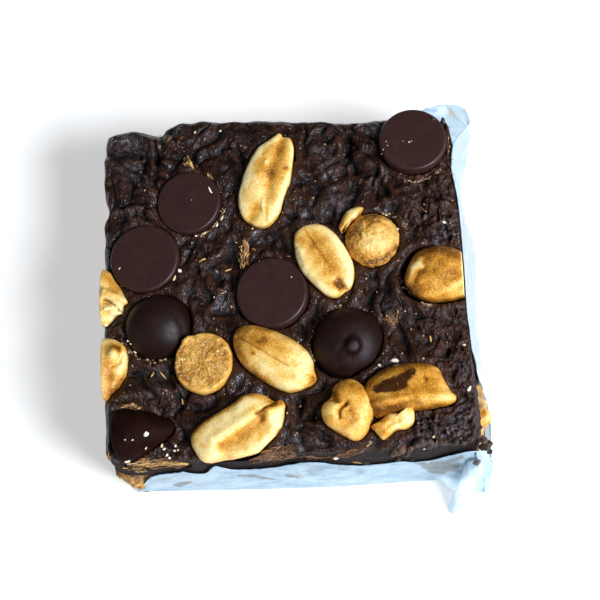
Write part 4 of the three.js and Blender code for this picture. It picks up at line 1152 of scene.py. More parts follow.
def footprint(points):
    """The outline that a topping needs in the fudge's top, as radii round its middle."""
    high = points[points[:, 2] > SUNK]
    sunk = np.maximum(TOP - high[:, 2], 0)[:, None]
    seen = high[:, :2] + sunk * CAMERA_BACK[:2] / CAMERA_BACK[2]
    cloud = np.concatenate([high[:, :2], seen])
    centre = (cloud.min(axis=0) + cloud.max(axis=0)) / 2
    away = cloud - centre
    turn = np.arctan2(away[:, 1], away[:, 0]) / (2 * math.pi) % 1
    radii = np.zeros(FOOTPRINT_BINS)
    bins = (turn * FOOTPRINT_BINS).astype(int) % FOOTPRINT_BINS
    np.maximum.at(radii, bins, np.hypot(*away.T))
    return centre, radii


def footprint_distance(x, y, centre, radii):
    """How far outside a footprint each place is, negative inside."""
    dx, dy = x - centre[0], y - centre[1]
    turn = np.arctan2(dy, dx) / (2 * math.pi) % 1
    middles = (np.arange(FOOTPRINT_BINS) + 0.5) / FOOTPRINT_BINS
    radius = np.interp(turn, middles, radii, period=1)
    change = np.gradient(np.concatenate([radii[-1:], radii, radii[:1]]))[1:-1]
    slope = change * FOOTPRINT_BINS / (2 * math.pi)
    steep = np.interp(turn, middles, slope, period=1) / radius
    return (np.hypot(dx, dy) - radius) / np.sqrt(1 + steep ** 2)


def on_top(x, y):
    return np.stack([x, y, np.full_like(x, TOP)], axis=-1)


# The marks make the fudge glossier and also carry its painted sheen.
def gloss_and_painted_sheen_at(x, y):
    return np.clip(add_marks(on_top(x, y), GLOSS_AND_SHEEN_MARKS, {})["gloss_and_painted_sheen"], 0, 1)


def fudge_surface(x, y, footprints):
    """Height of the fudge's top, how deep in a gap each place is, and how crumbly."""
    crumb = crumbliness(x, y)
    z = top_height(x, y)
    relief = wrinkles(x, y, crumb) * (1 + 0.35 * gloss_and_painted_sheen_at(x, y))
    relief = relief + add_marks(on_top(x, y), FUDGE_MARKS, {})["height"]
    pit = np.zeros_like(x)
    for seed, (name, (centre, radii)) in enumerate(footprints.items()):
        distance = footprint_distance(x, y, centre, radii)
        uneven = swirl(x / 2.3, y / 2.3, 40 + seed)
        usual, extra, side = GAPS.get(name, USUAL_GAP)
        turn = np.arctan2(y - centre[1], x - centre[0]) - math.radians(side)
        gap = usual + extra * np.clip(np.cos(turn), 0, 1) + 0.12 * uneven
        inside = ramp(distance, gap + 0.05, gap - GAP_SLOPE)
        lip = LIPS.get(name, USUAL_LIP) * (1 + 0.8 * swirl(x / 1.9, y / 1.9, 41 + seed))
        relief = relief + lip * bell(distance - gap - LIP_AWAY, LIP_WIDTH)
        relief = relief * (1 - 0.4 * bell(distance, 0.9))
        pit = np.maximum(pit, inside)
    edge = np.maximum(depth_inside(x, y), 0)
    relief = relief * (0.3 + 0.7 * ramp(edge, 0, 1.4))
    waver = 0.7 * swirl(x / 2.6, y / 2.6, 35)
    drop = EDGE_DROP * (1 + waver + 1.1 * crumb * swirl(x / 0.9, y / 0.9, 36))
    drop = np.maximum(drop, 0.2) * (1 - 0.8 * ramp(x, 26, 28))
    z = z + relief - PIT * pit - drop * np.exp(-edge / EDGE_ROUND)
    return z, pit, crumb


def blurred(field, times):
    for _ in range(times):
        padded = np.pad(field, 1, mode="edge")
        inner = padded[1:-1]
        field = (inner[:, 1:-1] + padded[:-2, 1:-1] + padded[2:, 1:-1] + inner[:, :-2] + inner[:, 2:]) / 5
    return field


def rim_of_square(steps, shares):
    """Points round the square, anticlockwise, with the way out, the lean and the running length."""
    at, out, lean, run = [], [], [], []
    length = 0
    for side in (FRONT, RIGHT, BACK, LEFT):
        share = shares[:-1]
        at.append(side_points(side, share))
        normals = np.repeat(side["normal"][None], steps, axis=0)
        normals[0] = side["corner_normal"]
        out.append(normals)
        lean.append(np.full(steps, side["lean"]))
        run.append(length + share * side_length(side))
        length += side_length(side)
    return np.concatenate(at), np.concatenate(out), np.concatenate(lean), np.concatenate(run)


def side_weight(out, side):
    return np.clip(out @ side["normal"], 0, 1)


def fudge_wall(at, out, lean, run, z):
    """One ring of the fudge's cut side: drawn by the knife, with tears and small pits."""
    share = np.interp(z, [LAYER, LAYER + 0.4, *LEAN_HEIGHTS], [0.8, 0.95, *LEAN_SHARES])
    step = lean * share
    torn = 1 - 0.6 * side_weight(out, FRONT) + 1.0 * side_weight(out, RIGHT)
    drag = 0.16 * swirl(run / 7, np.full_like(run, z / 0.8), 51)
    drag += 0.1 * swirl(run / 2.2, np.full_like(run, z / 0.5), 52)
    first, second, own = cells(run / 1.5, np.full_like(run, z / 1.1), 53)
    pits = -0.35 * ramp(own, 0.72, 0.9) * bell(first, 0.42)
    chunks = 0.14 * (own - 0.5) - 0.12 * bell(second - first, 0.14)
    rough = torn * (drag + pits + chunks)
    hidden = side_weight(out, RIGHT) * ramp(at[:, 1], -15, -12)
    return mixed(step + rough, np.minimum(0.6 * step + 0.2 * rough, 0.5 * step), hidden)


def recess_for_cut_kernels(points):
    """How far the wall steps back where a cut kernel shows in it."""
    depth = np.zeros(len(points))
    for spec in PEANUTS:
        if "side" in spec:
            depth = np.maximum(depth, CUT_RECESS * ramp(inside_peanut(points, spec), 1.25, 1.0))
    return depth


def top_grid(shares):
    """The plan of the fudge's top: a grid drawn between its four sides."""
    front, right = side_points(FRONT, shares), side_points(RIGHT, shares)
    back, left = side_points(BACK, 1 - shares), side_points(LEFT, 1 - shares)
    u, v = shares[None, :, None], shares[:, None, None]
    top = front[None] * (1 - v) + back[None] * v + left[:, None] * (1 - u) + right[:, None] * u
    top = top - front[0] * (1 - u) * (1 - v) - front[-1] * u * (1 - v)
    top = top - back[-1] * u * v - back[0] * (1 - u) * v
    return top[..., 0], top[..., 1]


def fudge_layer(footprints):
    steps = FUDGE_STEPS
    even = np.linspace(0, 1, steps + 1)
    shares = even - EDGE_CROWDING * np.sin(2 * math.pi * even) / (2 * math.pi)
    x, y = top_grid(shares)
    z, pit, crumb = fudge_surface(x, y, footprints)
    hollow = blurred(z, BLUR_STEPS) - z
    # Painted shade: hollows and the gaps round the toppings are darkened in the colour, and made rougher.
    cavity_shade = np.clip(ramp(hollow, -0.01, 0.3) + pit, 0, 1)
    ridge = ramp(hollow, -0.02, -0.3)
    points = [np.stack([x, y, z], axis=-1).reshape(-1, 3)]
    faces = [grid_faces(steps + 1, steps + 1)]
    count = steps + 1
    rim = np.concatenate([
        np.arange(steps), np.arange(steps) * count + steps,
        steps * count + np.arange(steps, 0, -1), np.arange(steps, 0, -1) * count,
    ])
    at, out, lean, run = rim_of_square(steps, shares)
    above = rim
    total = count * count
    cut = [np.zeros(total)]
    for height in WALL_HEIGHTS:
        ring = np.column_stack([at, np.full(len(at), height)])
        step = fudge_wall(at, out, lean, run, height) * (0.45 + 0.55 * ramp(height, 21.2, 19.6))
        step -= recess_for_cut_kernels(ring)
        ring[:, :2] += out * step[:, None]
        if height > EDGE_FROM:
            ring[:, 2] = mixed(points[0][rim, 2], EDGE_FOOT, (WALL_TOP - height) / EDGE_HEIGHT)
        below = total + np.arange(len(at))
        total += len(at)
        points.append(ring)
        following = np.roll(np.arange(len(at)), -1)
        faces.append(np.stack([above, below, below[following], above[following]], axis=-1))
        cut.append(np.maximum(side_weight(out, FRONT), 0.5))
        above = below
    points.append(np.array([[0, 0, LAYER]]))
    faces.append(fan_faces(total, above, flip=True))
    cut.append(np.ones(1))
    points = np.concatenate(points)
    rest = len(points) - count * count
    values = {
        "cavity_shade": np.concatenate([cavity_shade.ravel(), np.full(rest, WALL_CAVITY_SHADE)]),
        "ridge": np.concatenate([ridge.ravel(), np.zeros(rest)]),
        "crumb": np.concatenate([crumb.ravel(), np.full(rest, WALL_CRUMB)]),
        "gloss_and_painted_sheen": np.concatenate([gloss_and_painted_sheen_at(x, y).ravel(), np.zeros(rest)]),
        "cut": np.concatenate(cut),
    }
    return points, faces, values


# Nut base

BASE_STEPS = 150
BASE_HEIGHTS = np.linspace(LAYER + 0.35, PAPER, 30)
BASE_LEAN = 0.9
# Beyond this x a place of the rim is on the right side.
ON_RIGHT = 27


def base_wall(at, lean, run, z):
    """One ring of the chopped nuts: how far out it stands, and its colour values."""
    inset = np.interp(z, [PAPER, 2, 11.6, LAYER], [0.2, 0, 0, 0.1])
    x, y = at.T
    wrapped = np.maximum(ramp(x, -27.5, -25.5) * (y < -22), (x > ON_RIGHT) * np.maximum(y > -16, y < -25))
    step = BASE_LEAN * lean - inset
    for middle_x, middle_y, width, length, size in BASE_PROUD:
        step = step + size * bell(x - middle_x, width) * bell(y - middle_y, length)
    step = step + 0.5 * bell(y + 20.5, 5.5) * (x > ON_RIGHT) * ramp(z, 5, 9)
    level = np.full_like(run, z)
    warp = 0.5 * swirl(run / 1.7, level / 1.7, 61)
    first, second, own = cells(run / 2.3 + warp, level / 1.7 + warp, 62)
    small_first, small_second, small_own = cells(run / 0.85, level / 0.75 - warp, 63)
    step = step + 0.62 * (own - 0.5) - 0.5 * bell(second - first, 0.17)
    step = step + 0.22 * (small_own - 0.5) - 0.16 * bell(small_second - small_first, 0.2)
    step = step + 0.25 * swirl(run / 5, level / 4, 64)
    hidden = np.maximum(wrapped, (x > ON_RIGHT) * ramp(z, 6.5, 4.5))
    step = mixed(step, np.minimum(0.25 * step, 0.3), hidden)
    seam = np.clip(bell(second - first, 0.17) + 0.4 * bell(small_second - small_first, 0.16), 0, 1)
    return step, own, seam


def nut_base():
    steps = BASE_STEPS
    shares = np.linspace(0, 1, steps + 1)
    at, out, lean, run = rim_of_square(steps, shares)
    x, y = at.T
    corner = bell(np.hypot(x + 29.6, y + 26.3), 1.3)
    fair_ring = bell(y + 20, 7) * (x > ON_RIGHT) + 0.6 * corner
    points, grain, seam = [], [], []
    for height in BASE_HEIGHTS:
        step, own, gap = base_wall(at, lean, run, height)
        points.append(np.column_stack([at + out * step[:, None], np.full(len(at), height)]))
        grain.append(own)
        seam.append(gap)
    count = len(at)
    body = grid_faces(len(BASE_HEIGHTS), count, wrap=True)[:, ::-1]
    points.append(np.array([[0, 0, BASE_HEIGHTS[0]], [0, 0, BASE_HEIGHTS[-1]]]))
    total = count * len(BASE_HEIGHTS)
    ends = [
        fan_faces(total, np.arange(count)),
        fan_faces(total + 1, total - count + np.arange(count), flip=True),
    ]
    values = {
        "grain": np.concatenate([*grain, [0.5, 0.5]]),
        "seam": np.concatenate([*seam, [0, 0]]),
        "fair": np.concatenate([np.tile(fair_ring, len(BASE_HEIGHTS)), [0, 0]]),
    }
    return np.concatenate(points), [body, *ends], values


# Paper wrapper, along the CAD model's foot and rim

# Front wall: x, height of the upper edge, its distance in front of the square.
FRONT_RIM = [
    (-29.2, 1.2, 0.8), (-26.6, 7.2, 0.85), (-25.0, 11.0, 0.8), (-23.2, 14.0, 0.8), (-20.8, 15.2, 0.8),
    (-18.6, 16.6, 0.8), (-17.7, 17.4, 0.8), (-16.6, 16.0, 0.8), (-14.6, 15.2, 0.85), (-12.8, 18.4, 0.7),
    (-11.9, 19.6, 0.65), (-10.9, 17.7, 0.75), (-9.4, 15.6, 0.9), (-6.2, 15.8, 0.95), (-2.6, 16.0, 0.95),
    (-0.6, 17.4, 0.9), (2.3, 18.9, 0.8), (5.2, 18.2, 0.8), (7.6, 15.9, 0.95), (10.7, 14.7, 1.05),
    (14.2, 15.0, 1.0), (17.4, 15.9, 0.95), (20.6, 15.0, 0.95), (22.6, 15.6, 0.95),
]
FOOT_OUT = 0.8
FOOT_BOW = (4, 26, 0.85)
# The folded ear at the front right corner: foot x, foot y, and the rim's x, y, z over it.
EAR = [
    (23.3, -29.3, 24.5, -28.4, 17.3), (23.9, -30.2, 26.0, -28.35, 18.6), (25.2, -30.8, 27.6, -28.3, 19.7),
    (26.2, -30.8, 28.8, -28.3, 20.1), (25.3, -32.0, 29.5, -28.3, 20.3), (24.2, -33.9, 29.9, -28.3, 20.4),
    (24.6, -34.7, 30.3, -28.3, 20.4), (26.0, -33.8, 30.7, -28.2, 20.1), (27.9, -31.9, 31.1, -28.1, 19.6),
    (29.1, -31.3, 31.4, -27.9, 18.8), (30.1, -31.5, 31.7, -27.6, 17.6), (31.2, -30.0, 31.9, -27.2, 15.0),
]
# How much each part of the sheet falls straight before it spreads out to its foot: station, amount.
HANG = [
    (0, 1.1), (22, 1.2), (24, 2.0), (26, 2.6), (27, 2.4), (28, 1.4), (30, 1.15), (33, 1.2), (35, 1.3),
    (37, 1.0),
]
# Right wall: y, height of the upper edge, foot's and upper edge's distance from the square.
RIGHT_WALL = [
    (-26.6, 9.5, 1.1, 1.35), (-24, 6.5, 1.25, 1.5), (-19.5, 7.0, 1.35, 1.5), (-16.5, 11, 1.25, 1.15),
    (-13.5, 18.2, 1.0, 0.5), (-8, 20.7, 0.75, 0.15), (-2.5, 21.4, 0.65, 0.1), (3, 21.5, 0.85, 0.1),
    (8.5, 21.7, 1.4, 0.1), (11.5, 21.9, 1.3, 0.1), (14, 22.0, 0.6, -0.05), (17, 22.1, 0.0, -0.3),
    (20.5, 22.2, -0.2, -0.25), (24, 22.2, 0.1, 0.9),
]
# The paper's free end, curled round the back corner: foot x, foot y, and the rim's x, y, z over it.
CURL = [
    (29.6, 26.6, 31.8, 26.8, 21.6), (29.6, 28.2, 31.4, 28.6, 21.6), (28.6, 29.6, 30.0, 29.8, 21.5),
    (26.8, 29.9, 27.6, 30.4, 21.2), (24.8, 29.7, 25.2, 30.3, 20.6), (23.6, 29.5, 23.6, 30.0, 20.2),
]
PANEL_CORNER = [(26.5, -30.3), (30.3, -30.3)]
PANEL_INSET = -0.5
PANEL_TOP = PAPER - 0.03
PAPER_COLUMNS = 430
PAPER_ROWS = 54
PAPER_THICK = 0.12
# Least height of the middle of the sheet
LOWEST = 0.08
# Share of the wall's height over which its bulge comes and goes
BULGE_REACH = 0.94
CREASE_LINES = 26
# Length of the walls and their height, which the creases are strewn over.
CREASED_RUN = 145
CREASED_HEIGHT = 22
# Least distance between the middle of the sheet and a cut side, and how far in it is still kept.
CLEARANCE = ((FRONT, 0.45), (RIGHT, 0.12))
CLEARED_FROM = -1.2
EAR_LIFT = PAPER * 0.65


def front_edge(x):
    (x1, y1), (x2, y2) = CORNERS["front_left"], CORNERS["front_right"]
    return y1 + (y2 - y1) * (x - x1) / (x2 - x1)


def right_edge(y):
    (x1, y1), (x2, y2) = CORNERS["front_right"], CORNERS["back_right"]
    return x1 + (x2 - x1) * (y - y1) / (y2 - y1)


def front_foot(x):
    middle, width, size = FOOT_BOW
    return front_edge(x) - FOOT_OUT - size * bell(x - middle, width)


def paper_stations():
    foot, rim = [], []
    for x, z, out in FRONT_RIM:
        foot.append((x - 0.2, front_foot(x), 0))
        rim.append((x, front_edge(x) - out, z))
    for foot_x, foot_y, x, y, z in EAR:
        foot.append((foot_x, foot_y, EAR_LIFT))
        rim.append((x, y, z))
    for y, z, foot_out, rim_out in RIGHT_WALL:
        foot.append((right_edge(y) + foot_out, y, 0))
        rim.append((right_edge(y) + rim_out, y, z))
    for foot_x, foot_y, x, y, z in CURL:
        foot.append((foot_x, foot_y, 0))
        rim.append((x, y, z))
    return foot, rim


def creases(run, up, seed):
    """Straight folds crossing the sheet: a sum of tilted planes that meet at sharp lines."""
    total = np.zeros_like(run)
    for k in range(CREASE_LINES):
        turn = math.pi * chance(k, 1, seed)
        middle = CREASED_RUN * chance(k, 2, seed)
        height = CREASED_HEIGHT * chance(k, 3, seed)
        reach = 3 + 9 * chance(k, 4, seed)
        size = 0.55 * (chance(k, 5, seed) - 0.42)
        across = (run - middle) * math.cos(turn) + (up - height) * math.sin(turn)
        along = -(run - middle) * math.sin(turn) + (up - height) * math.cos(turn)
        tent = np.maximum(1 - np.abs(across) / (0.35 * reach), 0)
        total += size * tent * np.maximum(1 - np.abs(along) / reach, 0)
    return total


def paper_wrapper():
    foot_controls, rim_controls = paper_stations()
    along = np.linspace(0, 1, PAPER_COLUMNS + 1)
    foot, rim = spline(foot_controls, along), spline(rim_controls, along)
    length = np.concatenate([[0], np.cumsum(np.linalg.norm(np.diff(foot, axis=0), axis=1))])
    rows = np.linspace(0, 1, PAPER_ROWS + 1)[None]
    share = rows[..., None]
    hang = np.interp(along * (len(foot_controls) - 1), *np.transpose(HANG))[:, None]
    risen = (1 - (1 - rows) ** hang)[..., None]
    sheet = foot[:, None] * (1 - share) + rim[:, None] * share
    sheet[..., :2] = foot[:, None, :2] * (1 - risen) + rim[:, None, :2] * risen
    run = np.repeat(length[:, None], PAPER_ROWS + 1, axis=1)
    up = sheet[..., 2]
    tangent = np.gradient(sheet, axis=0)
    way_out = np.cross(tangent, (rim - foot)[:, None])
    way_out /= np.maximum(np.linalg.norm(way_out, axis=-1, keepdims=True), TINY)
    hold = np.sin(math.pi * (rows * BULGE_REACH))
    bulge = (0.3 - 0.2 * ramp(run, 68, 74)) * (1 + noise(run / 6.3, rows * 1.5, 5)) * hold
    crumple = creases(run, up, 71) + 0.6 * creases(run * 1.9, up * 1.9, 72)
    fold_run, fold_up = run + 1.2 * swirl(run / 5, up / 5, 76), up + 1.2 * swirl(run / 5, up / 5, 77)
    crumple += 0.5 * (np.abs(swirl(fold_run / 5.2, fold_up / 4.0, 78)) - 0.35)
    crumple += 0.22 * (np.abs(swirl(fold_run / 2.3, fold_up / 1.9, 79)) - 0.35)
    crumple += 0.06 * swirl(run / 1.2, up / 1.6, 73)
    edge_hold = np.clip(rows * 6, 0.1, 1)
    sheet = sheet + way_out * (bulge + 0.85 * crumple * edge_hold)[..., None]
    ragged = 0.25 * swirl(length / 1.1, length * 0, 74) + 0.12 * swirl(length / 0.4, length * 0, 75)
    sheet[..., 2] += ragged[:, None] * np.clip(rows * 8 - 7, 0, 1)
    sheet[..., 2] = np.maximum(sheet[..., 2], LOWEST)
    for side, least in CLEARANCE:
        out = outside_of(side, sheet[..., 0], sheet[..., 1]) - 0.7 * side["lean"]
        push = np.where(out > CLEARED_FROM, np.maximum(least - out, 0), 0)
        sheet[..., :2] += push[..., None] * side["normal"]
    count = (PAPER_COLUMNS + 1) * (PAPER_ROWS + 1)
    front = grid_faces(PAPER_COLUMNS + 1, PAPER_ROWS + 1)[:, ::-1]
    points = sheet.reshape(-1, 3)
    skin = normals_of(points, [front])
    thick = PAPER_THICK / 2
    both = np.concatenate([points + skin * thick, points - skin * thick])
    both[:, 2] = np.maximum(both[:, 2], 0.0)
    columns = PAPER_ROWS + 1
    left = np.arange(columns)
    right = PAPER_COLUMNS * columns + left
    low = np.arange(PAPER_COLUMNS + 1) * columns
    high = low + PAPER_ROWS
    borders = [(left[:-1], left[1:]), (right[1:], right[:-1]), (low[1:], low[:-1]), (high[:-1], high[1:])]
    strips = [np.stack([a, b, b + count, a + count], axis=-1) for a, b in borders]
    wall = (both, [front, front[:, ::-1] + count, *strips], {})
    return joined([wall, paper_panel()])


def paper_panel():
    """The sheet under the brownie, up to the wrapper's foot."""
    x = np.arange(-28.6, 24, 1.3)
    outline = list(zip(x, front_foot(x)))
    outline += PANEL_CORNER
    outline += [(right_edge(y) + foot_out, y) for y, _, foot_out, _ in RIGHT_WALL]
    share = np.linspace(0, 1, 49)[1:]
    for side in (BACK, LEFT):
        line = side_points(side, share)
        ends = np.where(share < 1, PANEL_INSET, 0)[:, None]
        outline += list(line + ends * side["normal"])
    ring = np.array(outline)
    count = len(ring)
    upper = np.column_stack([ring, np.full(count, PANEL_TOP)])
    lower = np.column_stack([ring, np.zeros(count)])
    points = np.concatenate([upper, lower, [[0, 0, PANEL_TOP], [0, 0, 0]]])
    order = np.arange(count)
    following = np.roll(order, -1)
    faces = [
        fan_faces(2 * count, order), fan_faces(2 * count + 1, order + count, flip=True),
        np.stack([order, order + count, following + count, following], axis=-1),
    ]
    return points, faces, {}


# Loose bits: crumbs, shreds and nut flakes

# Crumbs and bits: photo pixel, length, width, height in mm, turn in degrees.
BROWN_CRUMBS = [
    ((486, 446), 2.2, 1.8, 1.8, 20), ((484, 440), 1.3, 1.2, 1.2, 70), ((489, 452), 1.2, 0.9, 0.9, 10),
    ((397, 451), 1.8, 1.5, 1.3, 30), ((402, 449), 1.7, 1.6, 1.2, 80), ((407, 453), 1.3, 1.2, 1.1, 0),
    ((393, 454), 1.1, 1.0, 1.0, 45), ((398, 459), 1.2, 0.9, 1.0, 110), ((411, 449), 1.0, 1.0, 0.8, 60),
    ((364, 462), 1.8, 0.6, 0.5, 170), ((412, 460), 0.9, 0.5, 0.5, 15), ((443, 121), 1.2, 0.7, 0.7, 100),
    ((447, 128), 0.8, 0.5, 0.5, 80), ((433, 119), 0.7, 0.6, 0.4, 20), ((386, 177), 0.8, 0.6, 0.5, 30),
    ((373, 188), 0.8, 0.6, 0.5, 140), ((430, 446), 1.5, 1.2, 0.8, 20), ((421, 441), 1.2, 1.1, 0.8, 60),
    ((440, 441), 1.3, 1.0, 0.8, 90), ((456, 441), 1.4, 1.1, 0.9, 40), ((464, 443), 1.1, 0.9, 0.8, 10),
    ((425, 217), 1.0, 0.7, 0.6, 60), ((169, 139), 1.3, 0.8, 0.6, 60), ((172, 142), 0.8, 0.6, 0.5, 10),
]
WHITE_BITS = [
    ((146, 434.3), 0.8, 0.8, 0.6, 0), ((125, 439.7), 0.3, 0.2, 0.2, 30),
    ((132.6, 440), 0.34, 0.2, 0.18, 20), ((146, 448.3), 0.45, 0.3, 0.3, 60),
    ((162, 446), 0.7, 0.4, 0.3, 80), ((164, 449), 0.5, 0.4, 0.3, 30), ((175.5, 446), 0.5, 0.35, 0.3, 80),
    ((175, 450.5), 0.7, 0.4, 0.3, 10), ((178, 450), 0.35, 0.3, 0.25, 60),
    ((167, 455), 0.6, 0.35, 0.3, 60), ((169.5, 458), 0.45, 0.3, 0.25, 0),
    ((127, 461.8), 0.9, 0.4, 0.35, 10), ((335.5, 458.5), 0.95, 0.4, 0.35, 0),
    ((394.5, 360.5), 1.3, 0.7, 0.5, -15), ((379.5, 365.5), 0.6, 0.5, 0.4, 0),
    ((444, 222), 0.9, 0.55, 0.4, -30), ((464, 345), 0.6, 0.4, 0.35, 0), ((469, 389), 0.9, 0.5, 0.5, 60),
    ((386, 215), 0.5, 0.3, 0.2, -30), ((397.5, 229), 0.4, 0.3, 0.2, 0),
    ((209.5, 189), 1.0, 0.3, 0.2, -70), ((211, 192), 0.5, 0.25, 0.2, -40),
    ((119.5, 268.5), 0.6, 0.22, 0.15, 40), ((386, 141.5), 0.16, 0.14, 0.1, 0),
    ((387.5, 145.5), 0.22, 0.16, 0.1, 0), ((409, 142), 0.34, 0.26, 0.14, 0),
    ((411.5, 141), 0.2, 0.16, 0.1, 0), ((383, 149.5), 0.2, 0.16, 0.1, 0),
    ((381.5, 154), 0.16, 0.14, 0.1, 0), ((403, 141), 0.14, 0.12, 0.1, 0),
    ((291.5, 277), 0.22, 0.15, 0.1, 0), ((259.5, 261), 0.14, 0.12, 0.1, 0),
    ((191.5, 200), 0.14, 0.12, 0.08, 0), ((220.5, 131), 0.5, 0.35, 0.3, 20),
    ((195, 132.5), 0.5, 0.3, 0.3, 60), ((434, 437), 0.8, 0.4, 0.35, 20), ((438, 441), 0.6, 0.4, 0.35, 60),
    ((424, 449), 0.35, 0.25, 0.25, 0), ((179.5, 271), 0.7, 0.6, 0.5, 0), ((175, 278), 1.3, 0.4, 0.35, 60),
    ((222, 218), 0.9, 0.35, 0.3, 65), ((217, 225), 0.7, 0.3, 0.3, 60), ((205, 233), 0.6, 0.35, 0.3, 40),
    ((196, 236), 0.45, 0.3, 0.3, 0), ((131, 344), 0.45, 0.3, 0.25, 0), ((135, 352), 0.6, 0.3, 0.25, -40),
    ((128, 341), 0.5, 0.35, 0.3, 0), ((106, 325), 0.7, 0.5, 0.3, 0),
]
# Golden shreds: photo pixels along it, width in mm.
GOLDEN_SHREDS = [
    ([(243, 240), (245.5, 250), (242, 262)], 0.65), ([(246, 246), (247, 257)], 0.5),
    ([(239, 247), (247, 246)], 0.3), ([(252, 249), (256, 250)], 0.4),
    ([(199, 262), (205, 259), (207, 268)], 0.3), ([(225, 271), (232, 269)], 0.25),
    ([(221, 294), (226, 291)], 0.35), ([(188, 158), (190, 163), (193, 168)], 0.6),
    ([(183, 163), (186, 166)], 0.35), ([(206, 174), (210, 182), (213, 190)], 0.7),
    ([(120, 408), (130, 405), (138, 408)], 0.55), ([(131, 403), (140, 409)], 0.4),
    ([(182, 399), (183, 405)], 0.35), ([(380, 319), (388, 320), (395, 325)], 0.45),
    ([(386, 315), (392, 322)], 0.4), ([(398, 311), (396, 320), (393, 328)], 0.4),
    ([(382, 322), (392, 318)], 0.3), ([(430, 336), (431, 342)], 0.35), ([(151, 377), (154, 372)], 0.3),
    ([(421, 207), (427, 212)], 0.5), ([(160, 372), (166, 379)], 0.25),
    ([(336, 457), (345, 453), (352, 450), (362, 449)], 0.3), ([(330, 459), (338, 455), (345, 453)], 0.25),
    ([(352, 462), (365, 463)], 0.3), ([(366, 447), (372, 442)], 0.4),
    ([(305, 456), (318, 458), (330, 457)], 0.2), ([(145, 300), (150, 296)], 0.3),
]
# Patches of fibres: photo outline, number, length in mm, direction on the photo in degrees, spread, width.
GOLDEN_TUFTS = [
    ([(243, 240), (247, 241), (250, 262), (240, 268), (238, 262)], 46, 1.5, 95, 25, 0.17),
    ([(207, 173), (211, 176), (214, 192), (210, 187)], 16, 1.0, 65, 25, 0.16),
    ([(183, 157), (189, 156), (194, 168), (188, 168)], 18, 0.8, 60, 50, 0.15),
    ([(129, 463), (148, 459.5), (178, 463), (178, 466), (150, 466), (131, 467)], 34, 2.8, -4, 7, 0.13),
    ([(124, 468), (142, 468), (146, 472), (128, 472)], 14, 1.6, 2, 14, 0.16),
    ([(105, 452), (110, 455), (114, 470), (108, 468)], 30, 1.6, 80, 15, 0.22),
    ([(444, 122), (448, 122), (454, 175), (450, 178)], 14, 0.5, 75, 30, 0.13),
    ([(457, 225), (459, 225), (461, 250), (458, 250)], 6, 0.5, 80, 30, 0.12),
]
BROWN_TUFTS = [
    ([(252, 462), (262, 453), (276, 447), (290, 446), (296, 457), (280, 461)], 130, 2.2, -12, 22, 0.2),
    ([(380, 314), (390, 312), (402, 318), (396, 328), (386, 325)], 30, 1.3, 20, 70, 0.16),
    ([(395, 308), (399, 310), (394, 330), (391, 326)], 12, 1.6, 105, 15, 0.16),
    ([(122, 407), (134, 403), (141, 409), (130, 410)], 26, 1.2, -15, 30, 0.17),
    ([(330, 460), (345, 452), (366, 448), (366, 452), (345, 458)], 36, 1.8, -20, 18, 0.14),
    ([(160, 135), (172, 136), (172, 142), (164, 143)], 18, 0.6, 30, 60, 0.12),
    ([(300, 455), (318, 456), (316, 461), (300, 461)], 20, 1.4, -5, 20, 0.14),
    ([(128, 461), (150, 458), (186, 462), (182, 468), (150, 469), (130, 470)], 44, 2.4, -4, 9, 0.17),
]
# Crumbs along a topping's rim: middle and radius in photo pixels, the arc in degrees, and how many.
RIM_CRUMBS = [
    ((347.7, 342.4), 36.5, 100, 215, 69), ((154, 327), 34.5, 195, 290, 45),
    ((189.5, 203), 34, 285, 350, 39), ((382, 240), 27, 20, 100, 30), ((434, 274), 32, 190, 265, 45),
    ((137, 257), 36, 285, 330, 27), ((413, 147), 35, 250, 320, 30), ((274, 291), 37, 20, 70, 15),
]
ROCK_STEPS = 4
SHRED_SIDES = 7
SHRED_RISE = 0.3
SHRED_SINK = 0.1
# Heights at which the photo's rays are followed down the front side
FRONT_LEVELS = np.linspace(20.8, LAYER, 60)
RAY_ROUNDS = 3
# A crumb lies on a topping whose skin is seen within SKIN_REACH pixels of it, if that is higher than
# the fudge less SKIN_SLACK, or wherever it is if the place is BESIDE millimetres outside the square.
SKIN_REACH = 1.6
SKIN_SLACK = 0.3
BESIDE = 0.6
# How far out of the left side a fibre may reach, in mm.
LEFT_REACH = 0.15


def surface_points(pixels, footprints):
    """The points of the fudge that the photo shows at these pixels, on its top or its front."""
    at = at_heights(pixels, np.full(len(pixels), TOP))
    for _ in range(RAY_ROUNDS):
        height, _, _ = fudge_surface(at[:, 0], at[:, 1], footprints)
        at = at_heights(pixels, height)
    for level in FRONT_LEVELS:
        share = np.interp(level, LEAN_HEIGHTS, LEAN_SHARES)
        before = outside_of(FRONT, at[:, 0], at[:, 1]) > FRONT["lean"] * share + 0.05
        at[before] = at_heights(pixels, np.full(len(pixels), level))[before]
    return at


def skin_points(pixels, footprints, meshes):
    """As surface_points, but on the highest topping whose skin shows at each pixel."""
    best = surface_points(pixels, footprints)
    beside = depth_inside(best[:, 0], best[:, 1]) < -BESIDE
    least = np.where(beside, -1, best[:, 2] - SKIN_SLACK)
    for points, _, _ in meshes.values():
        seen = pixels_of(points)
        for k, pixel in enumerate(pixels):
            gap = np.hypot(*(seen - np.array(pixel)).T)
            nearest = int(np.argmin(np.where(gap < SKIN_REACH, gap - points[:, 2], math.inf)))
            if gap[nearest] < SKIN_REACH and points[nearest, 2] > least[k]:
                best[k] = at_height(pixel, points[nearest, 2])
                least[k] = best[k, 2] - SKIN_SLACK
    return best


